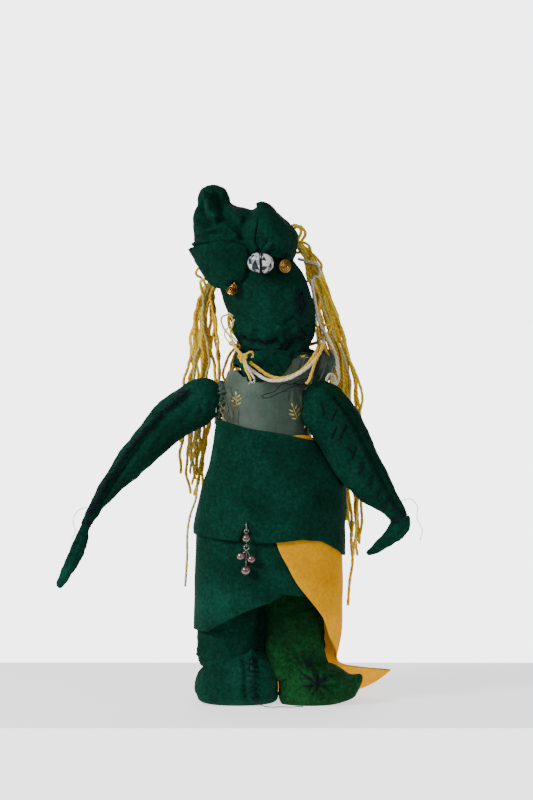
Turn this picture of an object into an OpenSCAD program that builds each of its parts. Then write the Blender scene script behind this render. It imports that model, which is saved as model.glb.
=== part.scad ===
// Sock puppet: a stuffed felt figure with a hollow body, a folded felt headdress, yarn hair,
// a satin bodice, layered felt skirts, a yellow felt train and a beaded pendant.
// Millimetres. +Z is up and the face looks along -Y. Right and left are the puppet's own.

/* [Head] */
// Width of the face across the cheeks
face_w = 61; // [50:1:75]
// Height of the neck's pivot, the centre of the ball the head turns on
neck_z = 252; // [240:1:265]
// Radius of the neck's ball
neck_r = 23; // [18:0.5:26]
// Thickness of the felt
felt_t = 1.6; // [1:0.1:3]
// Thickness of the head's felt with its backing
head_wall = 2; // [1.5:0.1:4]
// Width of the cut-glass bead on the brow
crystal_w = 18; // [12:0.5:24]
// Diameter of each eye button
button_d = 9; // [6:0.5:14]

/* [Body] */
// Width of the bodice
bodice_w = 61; // [50:1:75]
// Height of the bodice's lower edge, under the skirt
bodice_low = 177; // [165:1:185]
// Thickness of the sock that makes the body
sock_t = 3; // [2:0.5:5]
// Height of the sock's open lower end
sock_low = 104; // [95:1:115]
// Height of the sock's closed shoulder end
sock_top = 217; // [205:1:225]

/* [Skirts] */
// Width of the wrap skirt at its hem
wrap_w = 104; // [90:1:120]
// Depth of the wrap skirt at its hem, front to back
wrap_d = 82; // [66:1:98]
// Height of the slit in the wrap skirt
slit_h = 13; // [6:1:24]
// How far the yellow train reaches out to the puppet's left
train_reach = 88; // [70:1:110]

/* [Arms] */
// Radius of the right shoulder's rounded end
right_ball = 15.5; // [12:0.5:18]
// Radius of the left shoulder's rounded end
left_ball = 13; // [10:0.5:16]
// Thickness of the felt tube of each arm
arm_wall = 1.6; // [1:0.1:3]
// Thickness of the flat felt hands
hand_t = 1.8; // [1.2:0.1:3]

/* [Legs] */
// Height of the hips' pivots
hip_z = 78; // [70:1:85]
// Height of the ankles' pivots
ankle_z = 43; // [38:1:48]
// Radius of each leg
leg_r = 18.5; // [16:0.5:21]
// Length of the right shoe's widest section
right_shoe_w = 53; // [46:1:56]
// Length of the left shoe's widest section
left_shoe_w = 57; // [48:1:62]

/* [Yarn and beads] */
// Diameter of the yarn
yarn_d = 2.3; // [1.5:0.1:4]
// Diameter of the pendant's pearls
pearl_d = 5.7; // [4:0.1:8]
// Diameter of the pendant's lowest pearl
low_pearl_d = 6.7; // [4:0.1:9]
// Diameter of the pendant's wire
wire_d = 0.8; // [0.5:0.1:1.2]

/* [Hidden] */
// the whole figure is drawn about the body's own middle line, then moved so that the
// middle of its base is the origin
shift = [21.5, -9.5, 0];
gap = 0.4;
inner_gap = 0.3;
face_r = face_w / 2;
neck_at = [7, -1, neck_z];
right_shoulder = [-46, 0, 204];
left_shoulder = [45, -15, 204];
right_hip = [-22.5, -6, hip_z];
left_hip = [21, -6, hip_z];
right_ankle = [-22.5, -6, ankle_z];
left_ankle = [21, -6, ankle_z];
hook_at = [-11, -42.8, 123];
hook_r = 3.3;
eye_loop_r = 1.3;
stem_z = hook_at[2] - hook_r;
link_z = 110.4;
drop_r = 1.6;
drop_at = [hook_at[0], hook_at[1], link_z - 2 * drop_r];
top_pearl_at = [hook_at[0], hook_at[1], 115];
right_pearl_at = [-14.8, hook_at[1], 103];
left_pearl_at = [-7.6, hook_at[1], 101];
low_pearl_at = [-11.4, hook_at[1], 93.5];
felt_green = [0.03, 0.25, 0.19];
moss_green = [0.05, 0.27, 0.14];
satin_green = [0.25, 0.38, 0.3];
yellow = [0.95, 0.7, 0.08];
gold_yarn = [0.88, 0.69, 0.18];
cream_yarn = [0.9, 0.84, 0.66];
brass = [0.7, 0.5, 0.2];
rose_pearl = [0.42, 0.25, 0.24];
filling = [0.92, 0.91, 0.88];

// heights, middles and half widths of each soft form: [z, x, y, half width, half depth]
head_rows = [
    [250, 8, -3, face_r * 0.85, 24.5],
    [257, 7, -3, face_r * 0.92, 27],
    [264, 6, -3, face_r * 0.96, 28.5],
    [272, 4, -3, face_r, 29.5],
    [282, 2, -3, face_r * 1.02, 30],
    [292, -2, -3, face_r * 1.03, 29.5],
    [302, -6, -3, face_r * 0.98, 28],
    [312, -10, -3, face_r * 0.88, 25],
    [320, -13, -3, face_r * 0.72, 21],
    [326, -15, -3, face_r * 0.54, 16],
    [330, -16, -3, face_r * 0.34, 10],
    [332, -17, -3, face_r * 0.12, 3.5]
];
turban_rows = [
    [276, -8, -2, 35.5, 33.5],
    [290, -11, -2, 36, 34.5],
    [303, -13, -2, 35.5, 33.5],
    [313, -12, -2, 34.5, 31.5],
    [323, -14, -2, 33, 28.5],
    [331, -17.5, -2, 28, 24],
    [337, -21.5, -2, 24, 19.5],
    [341, -31, -2, 14.5, 14],
    [346, -34, -2, 9.5, 9.5],
    [350.5, -37, -2, 4, 4.5]
];
sock_rows = [
    [sock_low, 3, 0, 34, 28],
    [140, 4, 0, 33, 27],
    [175, 3, 0, 29.5, 25.5],
    [200, 2, 0, bodice_w / 2 - 2, 24.5],
    [sock_top, 3, 0, bodice_w / 2 - 3, 23]
];
wrap_rows = [
    [96, 4, 0, wrap_w / 2, wrap_d / 2 + 1],
    [120, 4, 0, wrap_w / 2, wrap_d / 2],
    [134, 6, 0, wrap_w / 2 - 1, wrap_d / 2 - 1],
    [149, 8, 0, wrap_w / 2 - 3, wrap_d / 2 - 3],
    [160, 5, 0, wrap_w / 2 - 9.5, wrap_d / 2 - 5],
    [178, 2, 0, 36, 31.5],
    [196, 2, 0, 33.5, 29]
];
under_rows = [
    [46, 1.5, 0, 49, 43.5],
    [75, 2, 0, 49, 41],
    [98, 2.5, 0, 49, 37.2],
    [120, 3.5, 0, 48.9, 36.2],
    [150, 7.2, 0, 45, 33.6]
];

function unit(v) = v / norm(v);
function pick(list, i) = list[max(0, min(len(list) - 1, i))];
function part_of(rows, z, k) = lookup(z, [for (s = rows) [s[0], s[k]]]);
// the point of a soft form at height z and angle t, d outside its surface
function on(rows, z, t, d = 0) = [
    part_of(rows, z, 1) + (part_of(rows, z, 3) + d) * cos(t),
    part_of(rows, z, 2) + (part_of(rows, z, 4) + d) * sin(t),
    z
];
// the same for the boxier round of a skirt that hangs over two legs
function boxy(v) = sign(v) * pow(abs(v), 0.8);
function round_skirt(rows, z, t, d = 0) = [
    part_of(rows, z, 1) + (part_of(rows, z, 3) + d) * boxy(cos(t)),
    part_of(rows, z, 2) + (part_of(rows, z, 4) + d) * boxy(sin(t)),
    z
];
function ring(c, u, v, ru, rv, n) =
    [for (i = [0:n - 1]) c + ru * cos(360 * i / n) * u + rv * sin(360 * i / n) * v];
function tangent(path, i) = unit(pick(path, i + 1) - pick(path, i - 1));
function side_of(t, ref) = unit(cross(ref, t));
// a smooth run of points through a short route
function spline(p, i, s) =
    let (a = pick(p, i - 1), b = p[i], c = pick(p, i + 1), d = pick(p, i + 2))
    0.5 * (2 * b + (c - a) * s + (2 * a - 5 * b + 4 * c - d) * s * s
    + (3 * b - a - 3 * c + d) * s * s * s);
function smooth(p, steps) = concat(
    [for (i = [0:len(p) - 2], k = [0:steps - 1]) spline(p, i, k / steps)], [p[len(p) - 1]]
);

// closes a list of rings into one solid
module skin(rings) {
    n = len(rings[0]);
    m = len(rings);
    sides = [
        for (j = [0:m - 2], i = [0:n - 1])
            let (a = j * n + i, b = j * n + (i + 1) % n)
                each [[a, b + n, b], [a, a + n, b + n]]
    ];
    low = [for (i = [0:n - 1]) i];
    high = [for (i = [n - 1:-1:0]) (m - 1) * n + i];
    polyhedron([for (r = rings) each r], concat(sides, [low, high]), convexity = 6);
}

// a soft form from its rows, d larger all round
module form(rows, n, d = 0) {
    skin([for (s = rows) ring([s[1], s[2], s[0]], [1, 0, 0], [0, 1, 0], s[3] + d, s[4] + d, n)]);
}

// a limb or lock along its stations [x, y, z, half width, half depth], d larger all round
module limb(stations, n, d = 0) {
    path = [for (s = stations) [s[0], s[1], s[2]]];
    skin([
        for (i = [0:len(path) - 1])
            let (t = tangent(path, i), u = side_of(t, [0, 1, 0]))
                ring(path[i], u, cross(t, u), stations[i][3] + d, stations[i][4] + d, n)
    ]);
}

// one yarn or thread of diameter d along a smooth route
module cord(route, d, steps, n = 8) {
    path = smooth(route, steps);
    skin([
        for (i = [0:len(path) - 1])
            let (t = tangent(path, i), u = side_of(t, [0.13, 0.31, 0.94]))
                ring(path[i], u, cross(t, u), d / 2, d / 2, n)
    ]);
}

// felt between an outer and an inner grid of points; rows rise and columns run anticlockwise
module cloth(outer, inner, closed = false) {
    m = len(outer);
    n = len(outer[0]);
    k = m * n;
    cols = closed ? n : n - 1;
    faces = [
        for (r = [0:m - 2], c = [0:cols - 1])
            let (a = r * n + c, b = r * n + (c + 1) % n, d = b + n, e = a + n)
                each [[a, e, d], [a, d, b], [a + k, d + k, e + k], [a + k, b + k, d + k]]
    ];
    hems = [
        for (c = [0:cols - 1])
            let (a = c, b = (c + 1) % n, e = (m - 1) * n + c, d = (m - 1) * n + (c + 1) % n)
                each [[a, b, b + k], [a, b + k, a + k], [e, e + k, d + k], [e, d + k, d]]
    ];
    ends = closed ? [] : [
        for (r = [0:m - 2])
            let (a = r * n, e = a + n, b = a + n - 1, d = e + n - 1)
                each [[a, a + k, e + k], [a, e + k, e], [b, d, d + k], [b, d + k, b + k]]
    ];
    polyhedron(
        concat([for (r = outer) each r], [for (r = inner) each r]),
        concat(faces, hems, ends),
        convexity = 8
    );
}

// ---- body ----

module body_sock() {
    color(felt_green)
    difference() {
        form(sock_rows, 40);
        skin([
            for (s = sock_rows)
                let (z = s[0] == sock_low ? sock_low - 1 : min(s[0], sock_top - 4))
                    ring([s[1], s[2], z], [1, 0, 0], [0, 1, 0], s[3] - sock_t, s[4] - sock_t, 40)
        ]);
    }
}

module seat() {
    color(felt_green)
    translate([0, 0, sock_low - 4.2])
    linear_extrude(4)
    intersection() {
        translate([3, 0]) scale([1, 0.72]) circle(r = 44, $fn = 60);
        translate([-60, -60]) square([120, 63]);
    }
}

module bodice() {
    heights = [for (z = [bodice_low:8:sock_top]) z];
    angles = [for (t = [0:10:350]) t];
    color(satin_green)
    cloth(
        [for (z = heights) [for (t = angles) on(sock_rows, z, t, 1.5)]],
        [for (z = heights) [for (t = angles) on(sock_rows, z, t, inner_gap)]],
        true
    );
}

module collar() {
    collar_rows = [
        [sock_top + 0.6, 7, -1, 29, 26.5],
        [228, 8, -1, 27.5, 26.2],
        [238, 8.5, -1, 27, 26]
    ];
    color(felt_green)
    difference() {
        form(collar_rows, 36);
        form([for (s = collar_rows) [s[0] + (s[0] > 230 ? 1 : s[0] < 220 ? -1 : 0),
            s[1], s[2], s[3] - felt_t, s[4] - felt_t]], 36);
    }
}

module shoulder_ruffle() {
    color(satin_green)
    limb([
        [34, 9.5, 204, 2, 2], [36, 9.5, 209, 4, 4], [39, 9.5, 216, 6, 5], [43, 9.5, 223, 7.5, 5],
        [45, 9.5, 230, 8, 5], [46, 9.5, 236, 6, 4], [46.5, 9.5, 239.5, 2.5, 2]
    ], 18);
}

// ---- skirts ----

wrap_hem = [
    [-180, 116], [-150, 115], [-120, 113.5], [-90, 111.5], [-70, 113.5], [-50, 112],
    [-33, 107], [-10, 101], [30, 100], [90, 105], [180, 116]
];
slit_t = -102.2;
function wrap_low(t) = lookup(t, wrap_hem) + max(0, slit_h - slit_h * abs(t - slit_t) / 6);
function wrap_high(t) = 186 - 8 * cos(t);
module wrap_skirt() {
    angles = concat(
        [for (t = [-180:10:-120]) t], [slit_t - 6, slit_t, slit_t + 6], [for (t = [-90:10:170]) t]
    );
    steps = 8;
    color(felt_green)
    cloth(
        [for (r = [0:steps]) [for (t = angles)
            round_skirt(wrap_rows, wrap_low(t) + (wrap_high(t) - wrap_low(t)) * r / steps, t)]],
        [for (r = [0:steps]) [for (t = angles)
            round_skirt(wrap_rows, wrap_low(t) + (wrap_high(t) - wrap_low(t)) * r / steps, t, -felt_t)]],
        true
    );
}

under_hem = [
    [-180, 51], [-160, 51], [-140, 51], [-120, 58], [-100, 66], [-90, 70], [-80, 77],
    [-60, 75], [0, 72], [50, 58], [70, 30], [110, 26], [140, 36], [160, 51], [180, 51]
];
module under_skirt() {
    angles = [for (t = [-180:10:170]) t];
    steps = 7;
    color(felt_green)
    cloth(
        [for (r = [0:steps]) [for (t = angles)
            round_skirt(under_rows, lookup(t, under_hem) + (150 - lookup(t, under_hem)) * r / steps, t)]],
        [for (r = [0:steps]) [for (t = angles)
            round_skirt(under_rows, lookup(t, under_hem) + (150 - lookup(t, under_hem)) * r / steps, t,
                -felt_t)]],
        true
    );
}

// each row of the yellow felt: [z, half width, half depth, angle of its front edge, curl]
train_rows = [
    [0, train_reach, 64, 18, 18],
    [1, train_reach - 5, 61, 20, 17.5],
    [3, train_reach - 11, 58, 20, 16],
    [7, train_reach - 19, 54.5, 19, 13],
    [15, train_reach - 29, 50.5, 17, 7],
    [27, 52, 46.8, 8, 0],
    [37, 50.8, 46.2, -11, 0],
    [47, 50.4, 46, -30, 0],
    [60, 50.4, 45, -47, 0],
    [80, 50.4, 42.4, -70, 0],
    [95, 50.2, 40, -80, 0],
    [108, 49.7, 38.7, -86, 0],
    [130, 48.9, 37.5, -90, 0],
    [148, 46.6, 35.4, -90, 0]
];
// how far the front edge turns in towards the leg at each height
train_tuck = [[0, 0], [3, 1], [7, 2], [15, 5], [37, 5], [47, 4], [60, 0]];
function train_z(s, f) = s[0] + s[4] * pow(max(0, 1 - 3 * f), 2);
function train_reach_at(s, f) =
    s[1] - max(0, s[1] - 64) * min(1, 2.5 * f) - lookup(s[0], train_tuck) * max(0, 1 - 4 * f);
function train_point(s, f, d) =
    let (t = s[3] + (118 - s[3]) * f)
    [part_of(wrap_rows, max(96, s[0]), 1) + (train_reach_at(s, f) + d) * boxy(cos(t)),
        (s[2] + d) * boxy(sin(t)), 0];
module yellow_train() {
    cols = 22;
    flat = [for (s = train_rows) [for (c = [0:cols]) train_point(s, c / cols, 0)
        + [0, 0, train_z(s, c / cols)]]];
    under = [for (s = train_rows) [for (c = [0:cols]) train_point(s, c / cols, -1.3)
        + [0, 0, train_z(s, c / cols) + (s[0] < 20 ? -1.1 : 0)]]];
    color(yellow)
    translate([0, 0, 1.1])
    cloth(flat, under);
}

// ---- neck and head ----

module neck_profile(d) {
    low = sock_top + 0.6 - neck_z + d;
    half = neck_r - 1 - d;
    intersection() {
        union() {
            circle(r = neck_r - d, $fn = 96);
            translate([-half, low]) square([2 * half, -low]);
        }
        translate([0, -60]) square([60, 120]);
    }
}
module neck_felt() {
    color(felt_green)
    translate(neck_at)
    rotate_extrude($fn = 96)
    difference() {
        neck_profile(0);
        neck_profile(2.5);
    }
}
module neck_stuffing() {
    color(filling)
    translate(neck_at)
    rotate_extrude($fn = 96)
    neck_profile(2.5 + inner_gap);
}

module socket(extra = 0) {
    translate(neck_at) sphere(r = neck_r + 1 + extra, $fn = 72);
}
module head_felt() {
    color(felt_green)
    difference() {
        form(head_rows, 40);
        intersection() {
            form(head_rows, 40, -head_wall);
            translate([-60, -60, 252]) cube([120, 120, 76]);
        }
        socket();
    }
}
module head_stuffing() {
    color(filling)
    difference() {
        intersection() {
            form(head_rows, 32, -head_wall - inner_gap);
            translate([-60, -60, 254]) cube([120, 120, 72]);
        }
        socket(0.5);
    }
}

// the folded headdress, less the head under it and everything below its slanting edge
module turban(x_low, x_high) {
    difference() {
        intersection() {
            form(turban_rows, 36);
            translate([x_low, -60, 260]) cube([x_high - x_low, 120, 100]);
            translate([0, 0, 296]) rotate([0, -21, 0]) translate([-90, -60, 0]) cube([180, 120, 90]);
        }
        form(head_rows, 40, inner_gap);
    }
}
module flap_space(d) {
    translate([-70, -60, 270]) cube([58 + d, 54 + d, 42 + d]);
}
module brow_flap() {
    color(felt_green)
    intersection() {
        turban(-60, -12);
        flap_space(0);
    }
}
module peak_fold() {
    color(felt_green)
    difference() {
        turban(-60, -26);
        flap_space(gap);
    }
}
module crown_fold() {
    color(felt_green)
    difference() {
        turban(-26 + gap, -3);
        flap_space(gap);
    }
}
module side_fold() {
    color(felt_green)
    turban(-3 + gap, 40);
}

module crystal() {
    r = crystal_w / 2;
    color([0.85, 0.9, 0.95])
    translate([-1.5, -40.2, 299])
    rotate([0, -8, 0])
    difference() {
        hull()
            scale([1, 0.6, 1])
            rotate_extrude($fn = 12)
            polygon([[0, -6.5], [5, -6.5], [8, -3.2], [r, 0], [8, 3.2], [5, 6.5], [0, 6.5]]);
        cylinder(d = 1.4, h = 14, center = true, $fn = 32);
    }
}

module eye_at(p, turn) {
    translate(p) rotate([0, 0, turn]) rotate([90, 0, 0]) children();
}
right_eye = [-22.5, -27, 281];
left_eye = [16.5, -29.5, 297.5];
module button() {
    color(brass)
    union() {
        cylinder(d = button_d, h = 1.2, $fn = 64);
        translate([0, 0, 1.2]) cylinder(d1 = button_d - 1, d2 = button_d - 3, h = 1, $fn = 64);
    }
}
module loop_ring(r, d) {
    color(brass) rotate_extrude($fn = 48) translate([r, 0]) circle(d = d, $fn = 24);
}
module eye_button_right() {
    eye_at(right_eye, -36) button();
}
module eye_ring_right() {
    eye_at(right_eye, -36) translate([0.3, 0.6, 3]) loop_ring(2.4, 1.3);
}
module eye_button_left() {
    eye_at(left_eye, 30) button();
}
module eye_ring_left() {
    eye_at(left_eye, 30) translate([-0.3, 0.6, 3]) loop_ring(2.4, 1.3);
}

module hair_right() {
    color(gold_yarn)
    limb([
        [-40, 11, 277, 5, 3], [-41, 12, 271, 7.5, 4], [-42, 13, 262, 9, 4.5],
        [-43, 16, 246, 11, 4.5], [-43, 21, 228, 12.5, 4.5], [-44, 25.5, 208, 12, 4.5],
        [-46, 26, 184, 11, 4.5], [-48, 26, 160, 8.5, 4], [-47, 25, 138, 4, 3]
    ], 18);
}
module hair_left() {
    color(gold_yarn)
    limb([
        [33, 8, 301, 3, 3], [36, 10, 294, 6, 4], [40, 12, 276, 7, 4], [46, 16, 252, 8.5, 4.5],
        [53, 20, 228, 9, 4.5], [56, 23, 205, 9, 4.5], [59, 25, 180, 9, 4.5],
        [61, 25.5, 150, 8.5, 4.5], [63.5, 25, 120, 7.5, 4], [64, 24, 98, 4, 3]
    ], 18);
}
module hair_back() {
    color(gold_yarn)
    limb([
        [0, 33, 281, 22, 2.6], [2, 33.5, 266, 29, 3], [5, 33, 246, 30, 3], [6, 33, 226, 31, 3],
        [6, 35, 206, 31, 3], [6, 38.5, 186, 30, 3], [6, 42, 164, 27, 3], [6, 43.5, 148, 20, 2.6]
    ], 24);
}

// ---- arms ----

function ball_end(c, r, away) = [
    for (a = [78, 55, 30]) [
        c[0] + r * sin(a) * away[0], c[1], c[2] + r * sin(a) * away[1], r * cos(a), r * cos(a)
    ]
];
right_arm = concat(
    ball_end(right_shoulder, right_ball, [0.94, 0.34]),
    [
        [-46, 0, 204, 15.5, 15.5], [-60, 0, 194, 15, 15], [-72, 0, 182.5, 13.3, 13],
        [-83, 0, 171, 11.8, 11.5], [-92, 0, 160.5, 10.4, 10], [-102, 0, 149, 7.6, 7.5],
        [-111, 0, 138, 5.4, 5.4], [-117, 0, 128, 4.6, 4.2], [-121, 0, 120, 3.4, 2.6]
    ]
);
left_arm = concat(
    ball_end(left_shoulder, left_ball, [-0.5, 0.86]),
    [
        [45, -15, 204, 13, 13], [50.5, -15.5, 192, 15, 14], [57, -16, 178, 16, 14.5],
        [65, -16, 163, 15.2, 14], [74.5, -16, 149, 12.7, 12], [83.5, -16, 138.5, 9.6, 9],
        [89.5, -16, 131, 7, 6], [92.5, -16, 126, 5.4, 3.4]
    ]
);
// the felt tube closed over its filling: its first and last stations are kept solid
module arm_shell(stations) {
    n = len(stations);
    color(felt_green)
    difference() {
        limb(stations, 20);
        limb([for (i = [1:n - 2]) let (s = stations[i])
            [s[0], s[1], s[2], s[3] - arm_wall, s[4] - arm_wall]], 20);
    }
}
module arm_core(stations) {
    n = len(stations);
    d = arm_wall + inner_gap;
    color(filling)
    limb([for (i = [2:n - 3]) let (s = stations[i]) [s[0], s[1], s[2], s[3] - d, s[4] - d]], 20);
}
module arm_felt_right() {
    arm_shell(right_arm);
}
module arm_stuffing_right() {
    arm_core(right_arm);
}
module arm_felt_left() {
    arm_shell(left_arm);
}
module arm_stuffing_left() {
    arm_core(left_arm);
}
module shoulder_cap(p, x_low, x_high, r, tint) {
    color(tint)
    translate([x_low, p[1], p[2]])
    rotate([0, 90, 0])
    cylinder(r = r, h = x_high - x_low, $fn = 64);
}
module sleeve_cap_right() {
    shoulder_cap(right_shoulder, -30.1, -28.7, 9, satin_green);
}
module sleeve_cap_left() {
    shoulder_cap(left_shoulder, 30.5, 31.7, 6, satin_green);
}

// a flat felt hand along its route, with half widths that follow it
module flat_hand(route) {
    path = [for (s = route) [s[0], s[1], s[2]]];
    function across(i) = let (t = tangent(path, i)) side_of(t, [0, 1, 0]);
    color(felt_green)
    cloth(
        [for (i = [0:len(path) - 1]) [for (k = [1, 0.5, 0, -0.5, -1])
            path[i] + k * route[i][3] * across(i) + [0, -hand_t / 2, 0]]],
        [for (i = [0:len(path) - 1]) [for (k = [1, 0.5, 0, -0.5, -1])
            path[i] + k * route[i][3] * across(i) + [0, hand_t / 2, 0]]]
    );
}
module hand_right() {
    flat_hand([
        [-121.8, 0, 118, 2.8], [-124, -0.5, 110, 4.4], [-127, -1.2, 102, 4.8],
        [-131, -1.5, 94, 4.5], [-135, -1.2, 86.5, 3.8], [-138.5, -0.5, 80, 2.4]
    ]);
}
module hand_left() {
    flat_hand([
        [92.5, -16, 121.6, 3], [90.2, -16.4, 118.4, 5.2], [84.5, -17, 113, 4.8],
        [79.5, -17.2, 108.6, 3.9], [75, -17, 105.2, 3], [71.5, -16.6, 103, 1.8]
    ]);
}

// ---- legs ----

module leg_profile(d) {
    low = ankle_z - hip_z;
    intersection() {
        union() {
            circle(r = leg_r - d, $fn = 96);
            translate([0, low]) square([leg_r - d, -low]);
            translate([0, low]) circle(r = leg_r - 1.5 - d, $fn = 96);
        }
        translate([0, -80]) square([60, 160]);
    }
}
module leg_felt(hip) {
    translate(hip)
    rotate_extrude($fn = 96)
    difference() {
        leg_profile(0);
        leg_profile(felt_t);
    }
}
module leg_core(hip) {
    color(filling)
    translate(hip)
    rotate_extrude($fn = 96)
    leg_profile(felt_t + inner_gap);
}
module leg_felt_right() {
    color(felt_green) leg_felt(right_hip);
}
module leg_stuffing_right() {
    leg_core(right_hip);
}
module leg_felt_left() {
    color(moss_green) leg_felt(left_hip);
}
module leg_stuffing_left() {
    leg_core(left_hip);
}

right_shoe_rows = [
    [0, -19, -5, right_shoe_w / 2 - 7, 18], [3, -19, -5, right_shoe_w / 2 - 2, 23],
    [9, -19, -5, right_shoe_w / 2, 25.5], [17, -19, -5, right_shoe_w / 2, 26],
    [24, -19, -5, right_shoe_w / 2 - 1.5, 25], [30, -20, -6, right_shoe_w / 2 - 4, 22.5],
    [35, -20, -7, right_shoe_w / 2 - 7, 20]
];
left_shoe_rows = [
    [0, 37, -9, left_shoe_w / 2 - 7, 15], [3, 37.5, -9, left_shoe_w / 2 - 2, 19],
    [9, 38, -9, left_shoe_w / 2, 21], [15, 38, -9, left_shoe_w / 2, 21],
    [20, 36, -9, left_shoe_w / 2 - 3, 20.5], [25, 31, -9, left_shoe_w / 2 - 8, 20],
    [29, 27, -10, left_shoe_w / 2 - 12, 19]
];
module ankle_space(ankle, d) {
    translate(ankle) sphere(r = leg_r - 1.5 + 0.7 + d, $fn = 72);
}
module shoe(rows, ankle, top) {
    difference() {
        form(rows, 36);
        form([for (s = rows) [s[0] == 0 ? 1.6 : s[0] == top ? top - 1.6 : s[0],
            s[1], s[2], s[3] - felt_t, s[4] - felt_t]], 36);
        ankle_space(ankle, 0);
    }
}
module shoe_core(rows, ankle, top) {
    d = felt_t + inner_gap;
    color(filling)
    difference() {
        form([for (s = rows) [s[0] == 0 ? 1.9 : s[0] == top ? top - 1.9 : s[0],
            s[1], s[2], s[3] - d, s[4] - d]], 30);
        ankle_space(ankle, 1);
    }
}
module shoe_right() {
    color(felt_green) shoe(right_shoe_rows, right_ankle, 35);
}
module shoe_stuffing_right() {
    shoe_core(right_shoe_rows, right_ankle, 35);
}
module shoe_left() {
    color(moss_green) shoe(left_shoe_rows, left_ankle, 29);
}
module shoe_stuffing_left() {
    shoe_core(left_shoe_rows, left_ankle, 29);
}

// ---- yarn round the neck ----

necklace_route = [
    [-12, -27.5, 235], [-17, -20, 240], [-21, -8, 245], [-22, 8, 244], [-14, 21, 241],
    [0, 27.3, 240], [14, 27.3, 240], [28, 21, 242], [37, 8, 245], [38, -6, 244],
    [34, -20, 236], [26, -27.5, 227], [15, -30.5, 222], [5, -30.5, 223], [-4, -30, 229],
    [-9, -29.5, 232.5]
];
cream_route = [
    [40, 4, 248], [41, -6, 246], [38, -19, 238], [30, -28.5, 229], [17, -33, 221.5],
    [4, -33, 220.5], [-6, -31.5, 226], [-12, -30.5, 231]
];
module necklace_yellow() {
    color(gold_yarn) cord(necklace_route, yarn_d, 4);
}
module necklace_cream() {
    color(cream_yarn) cord(cream_route, yarn_d, 5);
}
module necklace_knot() {
    color(gold_yarn) translate([-13.6, -32.5, 235.5]) sphere(r = 2.6, $fn = 48);
}

// ---- pendant ----

module pendant_hook() {
    color(brass) translate(hook_at) rotate([0, 90, 0]) loop_ring(hook_r, wire_d);
}
// a straight wire from one point to another
module wire(a, b, d) {
    v = b - a;
    translate(a)
    rotate([0, acos(v[2] / norm(v)), atan2(v[1], v[0])])
    cylinder(d = d, h = norm(v), $fn = 32);
}
module pendant_stem() {
    color(brass)
    translate([hook_at[0], hook_at[1], 0])
    union() {
        translate([0, 0, stem_z]) rotate([90, 0, 0]) loop_ring(eye_loop_r, wire_d);
        wire([0, 0, stem_z - eye_loop_r], [0, 0, link_z + eye_loop_r], wire_d);
        translate([0, 0, link_z]) rotate([0, 90, 0]) loop_ring(eye_loop_r, wire_d);
    }
}
// a pearl bored for the wire that comes down to it from a point above
module pearl(at, d, top) {
    v = at - top;
    color(rose_pearl)
    translate(at)
    rotate([0, acos(v[2] / norm(v)), atan2(v[1], v[0])])
    difference() {
        sphere(d = d, $fn = 64);
        translate([0, 0, -d]) cylinder(d = wire_d + 0.2, h = 2 * d, $fn = 32);
    }
}
module pearl_top() {
    pearl(top_pearl_at, pearl_d, [hook_at[0], hook_at[1], stem_z]);
}
module pearl_right() {
    pearl(right_pearl_at, pearl_d, drop_at);
}
module pearl_left() {
    pearl(left_pearl_at, pearl_d, drop_at);
}
module pearl_low() {
    pearl(low_pearl_at, low_pearl_d, drop_at);
}
module drop_wires() {
    color(brass)
    union() {
        translate([hook_at[0], hook_at[1], link_z - drop_r])
            rotate([90, 0, 0]) loop_ring(drop_r, wire_d);
        wire(drop_at, right_pearl_at, wire_d);
        wire(drop_at, left_pearl_at, wire_d);
        wire(drop_at, low_pearl_at, wire_d);
    }
}

// ---- the whole figure ----

module placed() {
    translate(shift) children();
}

placed() body_sock();
placed() seat();
placed() bodice();
placed() collar();
placed() shoulder_ruffle();
placed() wrap_skirt();
placed() under_skirt();
placed() yellow_train();
placed() necklace_yellow();
placed() necklace_cream();
placed() necklace_knot();
placed() pendant_hook();
placed() neck_felt();
placed() neck_stuffing();
placed() head_felt();
placed() head_stuffing();
placed() brow_flap();
placed() peak_fold();
placed() crown_fold();
placed() side_fold();
placed() crystal();
placed() eye_button_right();
placed() eye_ring_right();
placed() eye_button_left();
placed() eye_ring_left();
placed() hair_right();
placed() hair_left();
placed() hair_back();
placed() sleeve_cap_right();
placed() arm_felt_right();
placed() arm_stuffing_right();
placed() hand_right();
placed() sleeve_cap_left();
placed() arm_felt_left();
placed() arm_stuffing_left();
placed() hand_left();
placed() leg_felt_right();
placed() leg_stuffing_right();
placed() shoe_right();
placed() shoe_stuffing_right();
placed() leg_felt_left();
placed() leg_stuffing_left();
placed() shoe_left();
placed() shoe_stuffing_left();
placed() pendant_stem();
placed() pearl_top();
placed() drop_wires();
placed() pearl_right();
placed() pearl_left();
placed() pearl_low();
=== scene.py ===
import math
import random

import bmesh
import bpy
import numpy as np
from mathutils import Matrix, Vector, noise
from mathutils.bvhtree import BVHTree


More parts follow.
